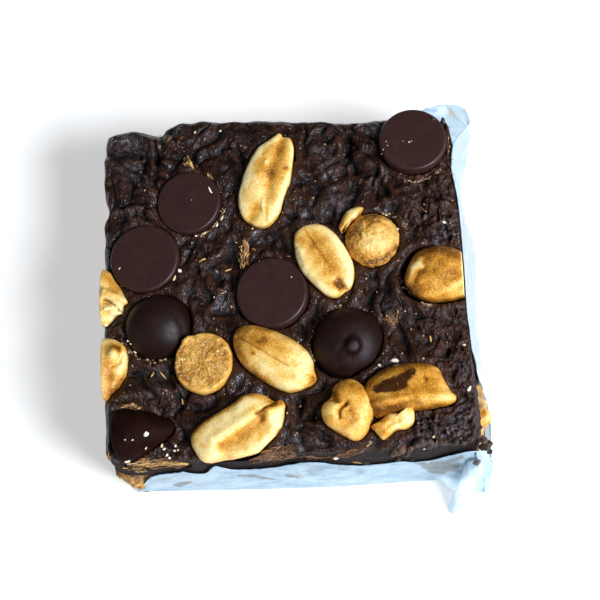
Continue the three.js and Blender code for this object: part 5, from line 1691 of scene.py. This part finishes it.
def rock(at, length, width, height, turn, seed, sink=0.25):
    """An uneven lump, lying at a point."""
    direction, quads = cube_sphere(ROCK_STEPS)
    uneven = 1 + 0.34 * solid_noise(direction + 9.1 * seed, 0.8, seed)
    uneven += 0.16 * solid_noise(direction, 0.33, seed)
    lump = direction * uneven[:, None] * np.array([length, width, height]) / 2
    angle = math.radians(turn)
    cos, sin = math.cos(angle), math.sin(angle)
    spun = np.stack([
        lump[:, 0] * cos - lump[:, 1] * sin, lump[:, 0] * sin + lump[:, 1] * cos, lump[:, 2],
    ], axis=-1)
    shade = np.full(len(spun), float(chance(seed, 3, 9)))
    return spun + at + np.array([0, 0, height * (0.5 - sink)]), [quads], {"shade": shade}


def shred(path, width, seed):
    """A thin fibre through the points, tapered and rough."""
    line = spline(path, np.linspace(0, 1, 5 * len(path)))
    sides = SHRED_SIDES
    angle = np.arange(sides) * 2 * math.pi / sides
    tangent = np.gradient(line, axis=0)
    across = np.cross(tangent, [0, 0, 1.0])
    across /= np.linalg.norm(across, axis=1, keepdims=True)
    t = np.linspace(0, 1, len(line))
    size = width / 2 * (0.25 + 0.75 * np.sqrt(np.sin(math.pi * np.clip(t, 0.03, 0.97))))
    rough = 1 + 0.45 * (chance(np.arange(len(line))[:, None], np.arange(sides)[None], seed) - 0.5)
    cos, sin = np.cos(angle)[None, :, None], np.sin(angle)[None, :, None]
    section = cos * across[:, None] + sin * np.array([0, 0, 0.7])
    rings = line[:, None] + (size[:, None] * rough)[..., None] * section
    rings[..., 2] += width * (SHRED_RISE - SHRED_SINK)
    points = np.concatenate([rings.reshape(-1, 3), line[:1], line[-1:]])
    body = grid_faces(len(line), sides, wrap=True)
    first, last = np.arange(sides), (len(line) - 1) * sides + np.arange(sides)
    ends = [fan_faces(len(points) - 2, first, flip=True), fan_faces(len(points) - 1, last)]
    normal = normals_of(points, [body])
    middle = len(line) // 2 * sides
    if (normal[middle] @ (points[middle] - line[len(line) // 2])) < 0:
        body, ends = body[:, ::-1], [end[:, ::-1] for end in ends]
    shade = np.full(len(points), float(chance(seed, 4, 9)))
    return points, [body, *ends], {"shade": shade}


def inside_ring(pixel, ring):
    across = ring - pixel
    following = np.roll(across, -1, axis=0)
    cross = across[:, 0] * following[:, 1] - across[:, 1] * following[:, 0]
    turns = np.arctan2(cross, (across * following).sum(axis=1))
    return abs(turns.sum()) > math.pi


def tufts(rows, footprints, seed):
    """Short fibres strewn over each patch, all lying much the same way."""
    draw = np.random.default_rng(seed)
    paths, widths = [], []
    for outline, count, length, direction, spread, width in rows:
        ring = np.array(outline, float)
        low, size = ring.min(axis=0), np.ptp(ring, axis=0)
        wanted = len(widths) + count
        while len(widths) < wanted:
            pixel = low + size * draw.uniform(0, 1, 2)
            if not inside_ring(pixel, ring):
                continue
            angle = math.radians(direction + spread * draw.uniform(-1, 1))
            reach = PIXELS_PER_MM * length * draw.uniform(0.4, 1.0) / 2
            step = reach * np.array([math.cos(angle), math.sin(angle)])
            bow = 0.25 * reach * draw.uniform(-1, 1) * np.array([-math.sin(angle), math.cos(angle)])
            paths += [pixel - step, pixel + bow, pixel + step]
            widths.append(width * draw.uniform(0.6, 1.3))
    points = surface_points(np.array(paths), footprints).reshape(-1, 3, 3)
    points[:, :, 2] += draw.uniform(0, 0.25, points.shape[:2])
    aside = outside_of(LEFT, points[..., 0], points[..., 1]).max(axis=1)
    return [
        shred(path, width, 900 + k)
        for k, (path, width) in enumerate(zip(points, widths)) if aside[k] < LEFT_REACH
    ]


def rim_crumbs(footprints, seed):
    draw = np.random.default_rng(seed)
    pixels, turns = [], []
    for middle, radius, start, end, count in RIM_CRUMBS:
        angle = np.radians(draw.uniform(start, end, count))
        reach = radius + draw.normal(0, 0.9, count)
        turns += list(np.degrees(angle) + 90 + draw.normal(0, 25, count))
        away = np.stack([reach * np.cos(angle), -reach * np.sin(angle)], axis=-1)
        pixels.append(np.array(middle) + away)
    places = surface_points(np.concatenate(pixels), footprints)
    places[:, 2] = np.maximum(places[:, 2], TOP - 0.5)
    parts = []
    for k, at in enumerate(places):
        size = draw.uniform(0.1, 0.34)
        parts.append(rock(at, 1.8 * size, size * draw.uniform(0.5, 1), size * 0.5, turns[k], 1200 + k))
    return parts


def scattered_specks(footprints, count, seed):
    """Tiny flecks caught in the fudge's folds."""
    draw = np.random.default_rng(seed)
    parts = []
    while len(parts) < count:
        x, y = draw.uniform(-29, 29), draw.uniform(-26.5, 28)
        size, slim, turn = draw.uniform(0.16, 0.42), draw.uniform(0.4, 1.0), draw.uniform(0, 180)
        place = (np.array([x]), np.array([y]))
        z, pit, _ = fudge_surface(*place, footprints)
        if pit[0] > 0.05 or depth_inside(*place)[0] < 0.6:
            continue
        at = np.array([x, y, z[0]])
        parts.append(rock(at, size, size * slim, size * 0.5, turn, 300 + len(parts)))
    return parts


def nut_bits(count, seed):
    """Chopped nuts that stand out of the base's bare sides: left, back and the right's front end."""
    draw = np.random.default_rng(seed)
    shares = np.linspace(0, 1, BASE_STEPS + 1)
    at, out, lean, run = rim_of_square(BASE_STEPS, shares)
    x, y = at.T
    bare_right = (x > 29.5) & (y > -25) & (y < -17.5)
    places = np.flatnonzero((x < -26.5) | (y > 27) | bare_right)
    parts = []
    while len(parts) < count:
        k = places[int(draw.integers(len(places)))]
        z = draw.uniform(7.5 if bare_right[k] else 1.4, LAYER - 0.6)
        size, slim, turn = draw.uniform(0.8, 2.3), draw.uniform(0.5, 0.95), draw.uniform(0, 180)
        step, _, _ = base_wall(at, lean, run, z)
        place = np.array([*(at[k] + out[k] * (step[k] - 0.22 * size)), z])
        parts.append(rock(place, size, size * slim, size * slim, turn, 700 + len(parts), sink=0.5))
    return parts


# Materials

def linear(red, green, blue):
    """A screen colour of 0 to 255 as the shader's linear colour."""
    share = [channel / 255 for channel in (red, green, blue)]
    return (*[c / 12.92 if c <= 0.04045 else ((c + 0.055) / 1.055) ** 2.4 for c in share], 1)


# Sockets of a Mix node that mixes colours
MIX_FIRST, MIX_SECOND, MIX_RESULT = 6, 7, 2


class Shading:
    """Short ways to add nodes to one new material."""

    def __init__(self, name):
        self.material = bpy.data.materials.new(name)
        self.material.use_nodes = True
        self.tree = self.material.node_tree
        self.shader = self.tree.nodes["Principled BSDF"]
        place = self.node("TexCoord").outputs["Object"]
        scaled = self.node("VectorMath", operation="SCALE")
        self.tree.links.new(place, scaled.inputs[0])
        scaled.inputs["Scale"].default_value = 1 / MM
        self.place = scaled.outputs[0]

    def node(self, kind, **settings):
        made = self.tree.nodes.new("ShaderNode" + kind)
        for key, value in settings.items():
            setattr(made, key, value)
        return made

    def put(self, socket, value):
        if isinstance(value, bpy.types.NodeSocket):
            self.tree.links.new(value, socket)
        else:
            socket.default_value = value

    def value(self, name):
        return self.node("Attribute", attribute_name=name).outputs["Fac"]

    def noise(self, size, detail=3, rough=0.55, stretch=None):
        made = self.node("TexNoise")
        place = self.place
        if stretch:
            mapping = self.node("Mapping")
            self.put(mapping.inputs["Vector"], place)
            mapping.inputs["Scale"].default_value = stretch
            place = mapping.outputs[0]
        self.put(made.inputs["Vector"], place)
        made.inputs["Scale"].default_value = 1 / size
        made.inputs["Detail"].default_value = detail
        made.inputs["Roughness"].default_value = rough
        return made.outputs["Fac"]

    def math(self, operation, a, b=0.0):
        made = self.node("Math", operation=operation)
        self.put(made.inputs[0], a)
        self.put(made.inputs[1], b)
        return made.outputs[0]

    def between(self, value, low, high, to_low=0.0, to_high=1.0):
        made = self.node("MapRange", interpolation_type="SMOOTHSTEP")
        self.put(made.inputs["Value"], value)
        names = ("From Min", "From Max", "To Min", "To Max")
        for name, number in zip(names, (low, high, to_low, to_high)):
            made.inputs[name].default_value = number
        return made.outputs["Result"]

    def times(self, a, b):
        return self.math("MULTIPLY", a, b)

    def sum(self, a, b):
        return self.math("ADD", a, b)

    def mix(self, share, a, b):
        made = self.node("Mix", data_type="RGBA")
        self.put(made.inputs["Factor"], share)
        self.put(made.inputs[MIX_FIRST], a)
        self.put(made.inputs[MIX_SECOND], b)
        return made.outputs[MIX_RESULT]

    def over(self, colour, share, amount, screen_colour):
        """Lays another colour over a colour, by the share times the amount."""
        return self.mix(self.times(share, amount), colour, linear(*screen_colour))

    def colours(self, value, stops):
        made = self.node("ValToRGB")
        elements = made.color_ramp.elements
        while len(elements) < len(stops):
            elements.new(0.5)
        for element, (place, colour) in zip(elements, stops):
            element.position = place
            element.color = colour
        self.put(made.inputs[0], value)
        return made.outputs[0]

    def bump(self, height, distance, strength=1.0, after=None):
        made = self.node("Bump")
        made.inputs["Strength"].default_value = strength
        made.inputs["Distance"].default_value = distance * MM
        self.put(made.inputs["Height"], height)
        if after is not None:
            self.put(made.inputs["Normal"], after)
        return made.outputs[0]

    def finish(self, colour, roughness, normal=None, **constants):
        self.put(self.shader.inputs["Base Color"], colour)
        self.put(self.shader.inputs["Roughness"], roughness)
        if normal is not None:
            self.put(self.shader.inputs["Normal"], normal)
        for name, value in constants.items():
            self.shader.inputs[name.replace("_", " ").title().replace("Ior", "IOR")].default_value = value
        return self.material


def fudge_material():
    s = Shading("fudge")
    mottle = s.noise(1.6, detail=4, rough=0.6)
    fine = s.noise(0.32, detail=2)
    smooth = s.mix(s.between(mottle, 0.35, 0.68), linear(25, 10, 5), linear(56, 33, 22))
    crumbly = s.mix(s.between(fine, 0.35, 0.7), linear(28, 12, 6), linear(82, 49, 29))
    crumb = s.times(s.value("crumb"), s.between(mottle, 0.3, 0.6, 0.5, 1.0))
    colour = s.mix(crumb, smooth, crumbly)
    colour = s.over(colour, s.value("ridge"), 0.35, (72, 46, 34))
    drawn = s.noise(0.9, stretch=(1, 1, 3))
    cut = s.mix(s.between(drawn, 0.35, 0.7), linear(23, 12, 9), linear(46, 30, 23))
    colour = s.mix(s.times(s.value("cut"), 0.85), colour, cut)
    # Painted sheen: a bluish grey laid into the colour where the fudge shines.
    painted_sheen = s.times(s.value("gloss_and_painted_sheen"), s.between(s.noise(0.8, detail=3), 0.42, 0.58, 0.12, 0.9))
    colour = s.mix(painted_sheen, colour, linear(84, 77, 82))
    # Painted shade: darkens the hollows and the gaps round the toppings.
    colour = s.over(colour, s.value("cavity_shade"), 0.92, (11, 3, 2))
    flecks = s.between(s.noise(0.21, detail=1), 0.73, 0.79)
    colour = s.over(colour, flecks, 0.55, (136, 98, 66))
    rough = s.sum(s.between(s.noise(1.3), 0.35, 0.65, 0.23, 0.42), s.times(crumb, 0.2))
    rough = s.sum(rough, s.times(s.value("cut"), 0.5))
    rough = s.math("SUBTRACT", rough, s.times(s.value("gloss_and_painted_sheen"), 0.1))
    rough = s.sum(rough, s.times(s.value("cavity_shade"), 0.35))
    creases = s.math("ABSOLUTE", s.math("SUBTRACT", s.noise(1.2, detail=3, stretch=(1, 0.5, 1)), 0.5))
    normal = s.bump(s.between(creases, 0.0, 0.1), 0.13, strength=0.8)
    normal = s.bump(s.noise(0.4, detail=3, rough=0.6), 0.045, after=normal)
    return s.finish(colour, rough, normal, specular_ior_level=0.31, specular_tint=(0.74, 0.87, 1.0, 1))


def chocolate_material(name, base, lighter, roughness, shine):
    s = Shading(name)
    soft = s.between(s.noise(2.4, detail=3), 0.35, 0.7)
    colour = s.mix(s.times(soft, 0.55), base, lighter)
    specks = s.between(s.noise(0.17, detail=1), 0.77, 0.82)
    colour = s.over(colour, specks, 0.35, (120, 96, 84))
    rough = s.between(s.noise(0.9), 0.3, 0.7, roughness - 0.04, roughness + 0.06)
    normal = s.bump(s.noise(0.28, detail=2), 0.012)
    normal = s.bump(s.noise(1.5, detail=2), 0.04, after=normal)
    return s.finish(colour, rough, normal, specular_ior_level=shine, specular_tint=(0.85, 0.92, 1.0, 1))


def nut_colours(s, toast):
    return s.colours(toast, [
        (0.0, linear(253, 230, 168)), (0.2, linear(242, 206, 126)), (0.38, linear(229, 177, 85)),
        (0.58, linear(204, 143, 50)), (0.8, linear(162, 104, 26)), (1.0, linear(106, 64, 14)),
    ])


def peanut_material(name="peanut", roughness=0.42):
    s = Shading(name)
    blotch = s.between(s.noise(1.9, detail=4, rough=0.6), 0.25, 0.75, -0.12, 0.12)
    grain = s.between(s.noise(0.3, detail=3, rough=0.7), 0.3, 0.7, -0.15, 0.15)
    # The toast and pale values carry painted shade on upper and left edges and painted highlights on lit
    # edges and ridges, as well as the roast.
    toast = s.sum(s.sum(s.value("toast"), blotch), grain)
    toast = s.math("SUBTRACT", toast, s.times(s.value("pale"), 0.3))
    colour = nut_colours(s, toast)
    uneven = s.between(s.noise(0.5), 0.3, 0.7, -0.2, 0.2)
    stain = s.times(s.value("stain"), s.sum(uneven, 1.0))
    colour = s.mix(s.between(stain, 0.15, 1.1), colour, linear(62, 32, 7))
    specks = s.between(s.noise(0.2, detail=1), 0.72, 0.78)
    colour = s.over(colour, specks, 0.5, (150, 92, 34))
    pale = s.between(s.noise(0.26, detail=1), 0.29, 0.24)
    colour = s.over(colour, pale, 0.6, (255, 240, 196))
    rough = s.between(s.noise(0.8), 0.3, 0.7, roughness - 0.08, roughness + 0.1)
    normal = s.bump(s.noise(0.75, detail=3, rough=0.6), 0.1)
    normal = s.bump(s.noise(0.19, detail=2), 0.03, after=normal)
    return s.finish(
        colour, rough, normal, specular_ior_level=0.34, subsurface_weight=0.1, subsurface_scale=1.0 * MM,
        subsurface_radius=(1, 0.6, 0.25),
    )


def butter_chip_material():
    s = Shading("peanut butter chip")
    grain = s.noise(0.36, detail=3, rough=0.7)
    rough = s.value("rough")
    # The toast and pale values carry painted shade and painted highlights as well as the roast.
    toast = s.sum(s.value("toast"), s.times(s.between(grain, 0.3, 0.7, 0.24, -0.2), rough))
    toast = s.math("SUBTRACT", toast, s.times(s.value("pale"), 0.3))
    colour = nut_colours(s, toast)
    flecks = s.times(s.between(s.noise(0.34, detail=1), 0.6, 0.66), rough)
    colour = s.over(colour, flecks, 0.85, (255, 230, 166))
    colour = s.mix(s.between(s.value("stain"), 0.1, 0.9), colour, linear(86, 46, 14))
    height = s.times(s.sum(grain, s.times(flecks, 0.5)), s.sum(rough, 0.15))
    normal = s.bump(height, 0.22)
    return s.finish(colour, 0.5, normal, subsurface_weight=0.08, subsurface_scale=1.0 * MM)


def nut_base_material():
    s = Shading("nut base")
    grain = s.value("grain")
    fine = s.noise(0.4, detail=3, rough=0.7)
    toast = s.sum(s.between(grain, 0.0, 1.0, 0.12, 0.72), s.between(fine, 0.3, 0.7, -0.14, 0.14))
    colour = nut_colours(s, toast)
    brown = s.mix(s.between(fine, 0.3, 0.7), linear(52, 33, 22), linear(118, 90, 62))
    patches = s.between(s.noise(1.7, detail=3), 0.42, 0.54)
    colour = s.mix(s.times(patches, 0.75), colour, brown)
    colour = s.over(colour, s.value("fair"), 0.7, (222, 180, 114))
    colour = s.over(colour, s.value("seam"), 0.75, (74, 46, 26))
    normal = s.bump(s.noise(0.5, detail=4, rough=0.65), 0.2)
    return s.finish(colour, 0.62, normal)


def bits_material(name, dark, light, roughness):
    s = Shading(name)
    tone = s.sum(s.value("shade"), s.between(s.noise(0.3, detail=3), 0.3, 0.7, -0.4, 0.4))
    colour = s.mix(s.between(tone, 0.0, 1.0), dark, light)
    normal = s.bump(s.noise(0.22, detail=3), 0.08)
    return s.finish(colour, roughness, normal)


def paper_material():
    s = Shading("paper")
    cloud = s.noise(5, detail=4, rough=0.6)
    colour = s.mix(s.between(cloud, 0.35, 0.65), linear(124, 158, 184), linear(156, 186, 206))
    fibre = s.between(s.noise(0.6, detail=4, rough=0.7), 0.35, 0.7)
    colour = s.over(colour, fibre, 0.3, (180, 200, 214))
    # Grease and painted shade, laid as dark grey: the greasy patch, the shadowed panel, the crease slits
    # and the shaded inner face.
    grease_and_painted_shade = s.between(s.value("grease_and_painted_shade"), 0.25, 0.85)
    colour = s.over(colour, grease_and_painted_shade, 0.85, (84, 86, 84))
    colour = s.mix(s.between(s.value("stain"), 0.15, 0.6, 0.0, 0.8), colour, linear(142, 112, 66))
    colour = s.mix(s.between(s.value("crumb"), 0.45, 0.7), colour, linear(44, 22, 12))
    # Painted shade: a duller, darker colour on the right wall, where the window lights it.
    colour = s.mix(s.value("lit"), colour, linear(155, 167, 180))
    # Painted light: the paper glows where the glow marks are, in a paler tone of its colour.
    light = s.mix(0.4, colour, linear(196, 204, 206))
    s.put(s.shader.inputs["Emission Color"], s.mix(s.value("glow"), linear(0, 0, 0), light))
    normal = s.bump(s.noise(1.6, detail=4, rough=0.6), 0.16)
    return s.finish(
        colour, 0.42, normal, emission_strength=1.3, subsurface_weight=0.6, subsurface_scale=0.5 * MM,
        subsurface_radius=(1, 1, 1),
    )


def floor_material():
    s = Shading("floor")
    cloud = s.noise(40, detail=2)
    colour = s.mix(s.between(cloud, 0.3, 0.7), linear(244, 245, 246), linear(250, 250, 250))
    return s.finish(colour, 0.7, emission_color=(1, 1, 1, 1), emission_strength=0.45)


# What the photo shows on the paper
PAPER_MARKS = {
    # glow: painted light, the paper made to glow with a pale tone where it stands in shadow.
    "glow": [
        ([(430, 108), (448, 108), (462, 116), (463, 132)], 2.2, 0.9),
        ([(446, 116), (453, 126), (456, 138)], 1.6, 0.7),
        ([(484, 380), (490, 430), (491, 446)], 1.6, 1.0),
        ([(444, 482), (456, 488), (464, 484)], 1.3, 0.85),
        ([(451, 510), (460, 500), (470, 486), (478, 470)], 1.3, 0.6),
        ([(230, 480), (420, 474)], 1.0, 0.08),
    ],
    # grease: a greasy translucent patch, and painted shade: the shadowed panel by the front right corner,
    # dark crease slits and the shaded inner face along the right edge.
    "grease_and_painted_shade": [
        ([(302, 465), (330, 467), (366, 465)], 0.7, 0.48),
        ([(310, 474), (340, 479), (362, 474)], 0.55, 0.46), ([(300, 472), (322, 470)], 0.4, 0.3),
        ([(340, 470), (368, 471)], 0.4, 0.25), ([(424, 466), (434, 468), (444, 470)], 0.62, 0.92),
        ([(430, 471), (442, 473)], 0.38, 0.77), ([(432, 463), (446, 462), (462, 457)], 0.5, 0.77),
        ([(446, 467), (458, 465)], 0.56, 0.74), ([(414, 463), (424, 464)], 0.3, 0.6),
        ([(450, 471), (458, 469)], 0.3, 0.4), ([(238, 475.5), (254, 476.5), (274, 479.5)], 0.2, 0.9),
        ([(252, 475), (262, 477)], 0.3, 0.5), ([(174, 485), (181, 483), (191, 482)], 0.2, 1.1),
        ([(178, 486), (186, 484)], 0.3, 0.7), ([(162, 483), (174, 480)], 0.16, 0.5),
        ([(198, 477), (206, 474)], 0.2, 0.4), ([(286, 475.5), (298, 477)], 0.31, 0.86),
        ([(150, 479), (157, 484)], 0.2, 0.5), ([(205, 478), (216, 470)], 0.4, 0.4),
        ([(371, 476), (384, 468)], 0.4, 0.45), ([(262, 465), (272, 470)], 0.5, 0.4),
        ([(444, 118), (452, 135), (455, 170)], 0.5, 0.35),
    ],
    "stain": [
        ([(165, 480), (176, 476)], 0.2, 0.45), ([(157, 482), (163, 480)], 0.2, 0.35),
        ([(450, 109), (453, 113)], 0.3, 0.8), ([(452, 114), (458, 119)], 0.3, 0.5),
        ([(446, 112), (449, 114)], 0.25, 0.5), ([(296, 471), (303, 478)], 0.25, 0.5),
        ([(480, 395), (485, 425)], 0.5, 0.3),
    ],
    "crumb": [([(476, 464.6), (478.6, 461.8)], 0.4, 1.6)],
}


# Stage and light

WINDOW_SIDE = (0.65, -0.35, 0.68)


def add_area_light(name, direction, distance, size, power, colour):
    data = bpy.data.lights.new(name, "AREA")
    data.shape = "DISK"
    data.size = size
    data.energy = power
    data.color = colour
    light = bpy.data.objects.new(name, data)
    bpy.context.scene.collection.objects.link(light)
    away = Vector(direction).normalized()
    light.location = away * distance + Vector((0, 0, TOP * MM))
    light.rotation_mode = "QUATERNION"
    light.rotation_quaternion = away.to_track_quat("Z", "Y")


def add_stage():
    size, drop = 3.0, 0.0002
    bpy.ops.mesh.primitive_plane_add(size=size, location=(0, 0, -drop))
    floor = bpy.context.object
    floor.name = "floor"
    floor.data.materials.append(floor_material())
    add_area_light("window", WINDOW_SIDE, distance=0.55, size=0.26, power=5.0, colour=(0.94, 0.97, 1.0))
    add_area_light("room", (-0.75, -0.5, 0.5), distance=0.8, size=0.6, power=0.6, colour=(0.9, 0.95, 1.0))
    world = bpy.data.worlds.new("world")
    bpy.context.scene.world = world
    world.use_nodes = True
    background = world.node_tree.nodes["Background"]
    background.inputs["Color"].default_value = (0.82, 0.9, 1.0, 1)
    background.inputs["Strength"].default_value = 0.11
    bpy.context.scene.view_settings.view_transform = "Standard"


# Assembly

# These stick in the sides and leave no footprint in the top.
SIDE_NUTS = ("peanut_side_chunk", "peanut_cut_front")


def topping_pieces(meshes):
    satin = chocolate_material("flat chocolate", linear(49, 28, 25), linear(57, 34, 31), 0.42, 0.36)
    glossy = chocolate_material("chocolate drop", linear(27, 10, 7), linear(38, 18, 14), 0.47, 0.22)
    dull = chocolate_material("worn chocolate", linear(24, 8, 6), linear(40, 20, 15), 0.62, 0.04)
    for spec in CHIPS:
        name = spec["name"]
        material = satin if spec.get("foot_up") else dull if name == "chip_tip_3" else glossy
        add_piece(name + "_look", meshes[name], material, [name])
    butter = butter_chip_material()
    for spec in BUTTER_CHIPS:
        name = spec["name"]
        add_piece(name + "_look", meshes[name], butter, [name])
    roasted = peanut_material()
    glazed = peanut_material("glazed peanut", 0.24)
    for spec in PEANUTS:
        name = spec["name"]
        points, _, values = meshes[name]
        for key in ("pale", "stain"):
            values.setdefault(key, np.zeros(len(points)))
        material = glazed if name == "peanut_glazed" else roasted
        add_piece(name + "_look", meshes[name], material, [name])


def paper_piece():
    """Adds the paper with its colour values. Gives its points, for the crumbs that lie on it."""
    points, faces, _ = paper_wrapper()
    y = points[:, 1]
    normals = normals_of(points, faces)
    values = add_marks(points, PAPER_MARKS, {}, ramp(normals @ CAMERA_BACK, -0.05, 0.1))
    window_lit = ramp(normals @ np.array(WINDOW_SIDE), 0.35, 0.7)
    # The painted glow is taken off where the window lights the sheet, towards the back.
    values["glow"] *= 1 - window_lit * ramp(y, -17, -10)
    # Painted shade on the right wall, which the window lights.
    values["lit"] = 0.9 * ramp(points[:, 0], 28, 30) * ramp(y, -26, -22) * (1 - ramp(y, 24, 28))
    add_piece("paper_look", (points, faces, values), paper_material(), ["paper_wrapper"])
    return points


def listed_rocks(rows, footprints, meshes, seed):
    places = skin_points([row[0] for row in rows], footprints, meshes)
    return [rock(at, *row[1:], seed + k) for k, (at, row) in enumerate(zip(places, rows))]


def add_loose(name, parts, look, dark, light, roughness):
    """One piece from many small parts, in a material named after its look."""
    add_piece(name, joined(parts), bits_material(look, linear(*dark), linear(*light), roughness))


def loose_pieces(meshes, footprints, paper):
    shown = {**meshes, "paper": (paper, None, None)}
    parts = listed_rocks(BROWN_CRUMBS, footprints, shown, 200)
    add_loose("brown_crumbs", parts, "crumb", (30, 16, 12), (86, 58, 44), 0.6)
    parts = listed_rocks(WHITE_BITS, footprints, meshes, 250)
    add_loose("white_crumbs", parts, "pale bits", (226, 204, 160), (255, 250, 236), 0.45)
    parts = scattered_specks(footprints, count=150, seed=5)
    add_loose("specks", parts, "specks", (92, 62, 40), (206, 172, 128), 0.5)
    parts = [
        shred(surface_points(path, footprints), width, 400 + k)
        for k, (path, width) in enumerate(GOLDEN_SHREDS)
    ] + tufts(GOLDEN_TUFTS, footprints, seed=7)
    add_loose("golden_shreds", parts, "shreds", (110, 66, 30), (222, 178, 112), 0.6)
    parts = tufts(BROWN_TUFTS, footprints, seed=8)
    add_loose("brown_fibres", parts, "brown fibres", (52, 32, 22), (138, 98, 62), 0.6)
    parts = rim_crumbs(footprints, seed=9)
    add_loose("rim_crumbs", parts, "rim crumbs", (70, 46, 34), (196, 166, 132), 0.5)
    parts = nut_bits(count=230, seed=6)
    add_loose("nut_bits", parts, "nut bits", (176, 126, 62), (242, 208, 142), 0.6)


add_camera()
add_stage()
topping_meshes_made = topping_meshes()
footprints_made = {
    name: footprint(mesh[0]) for name, mesh in topping_meshes_made.items()
    if name not in SIDE_NUTS
}
topping_pieces(topping_meshes_made)
add_piece("fudge_look", fudge_layer(footprints_made), fudge_material(), ["fudge_layer"])
add_piece("nut_base_look", nut_base(), nut_base_material(), ["nut_base_layer"])
paper_points = paper_piece()
loose_pieces(topping_meshes_made, footprints_made, paper_points)
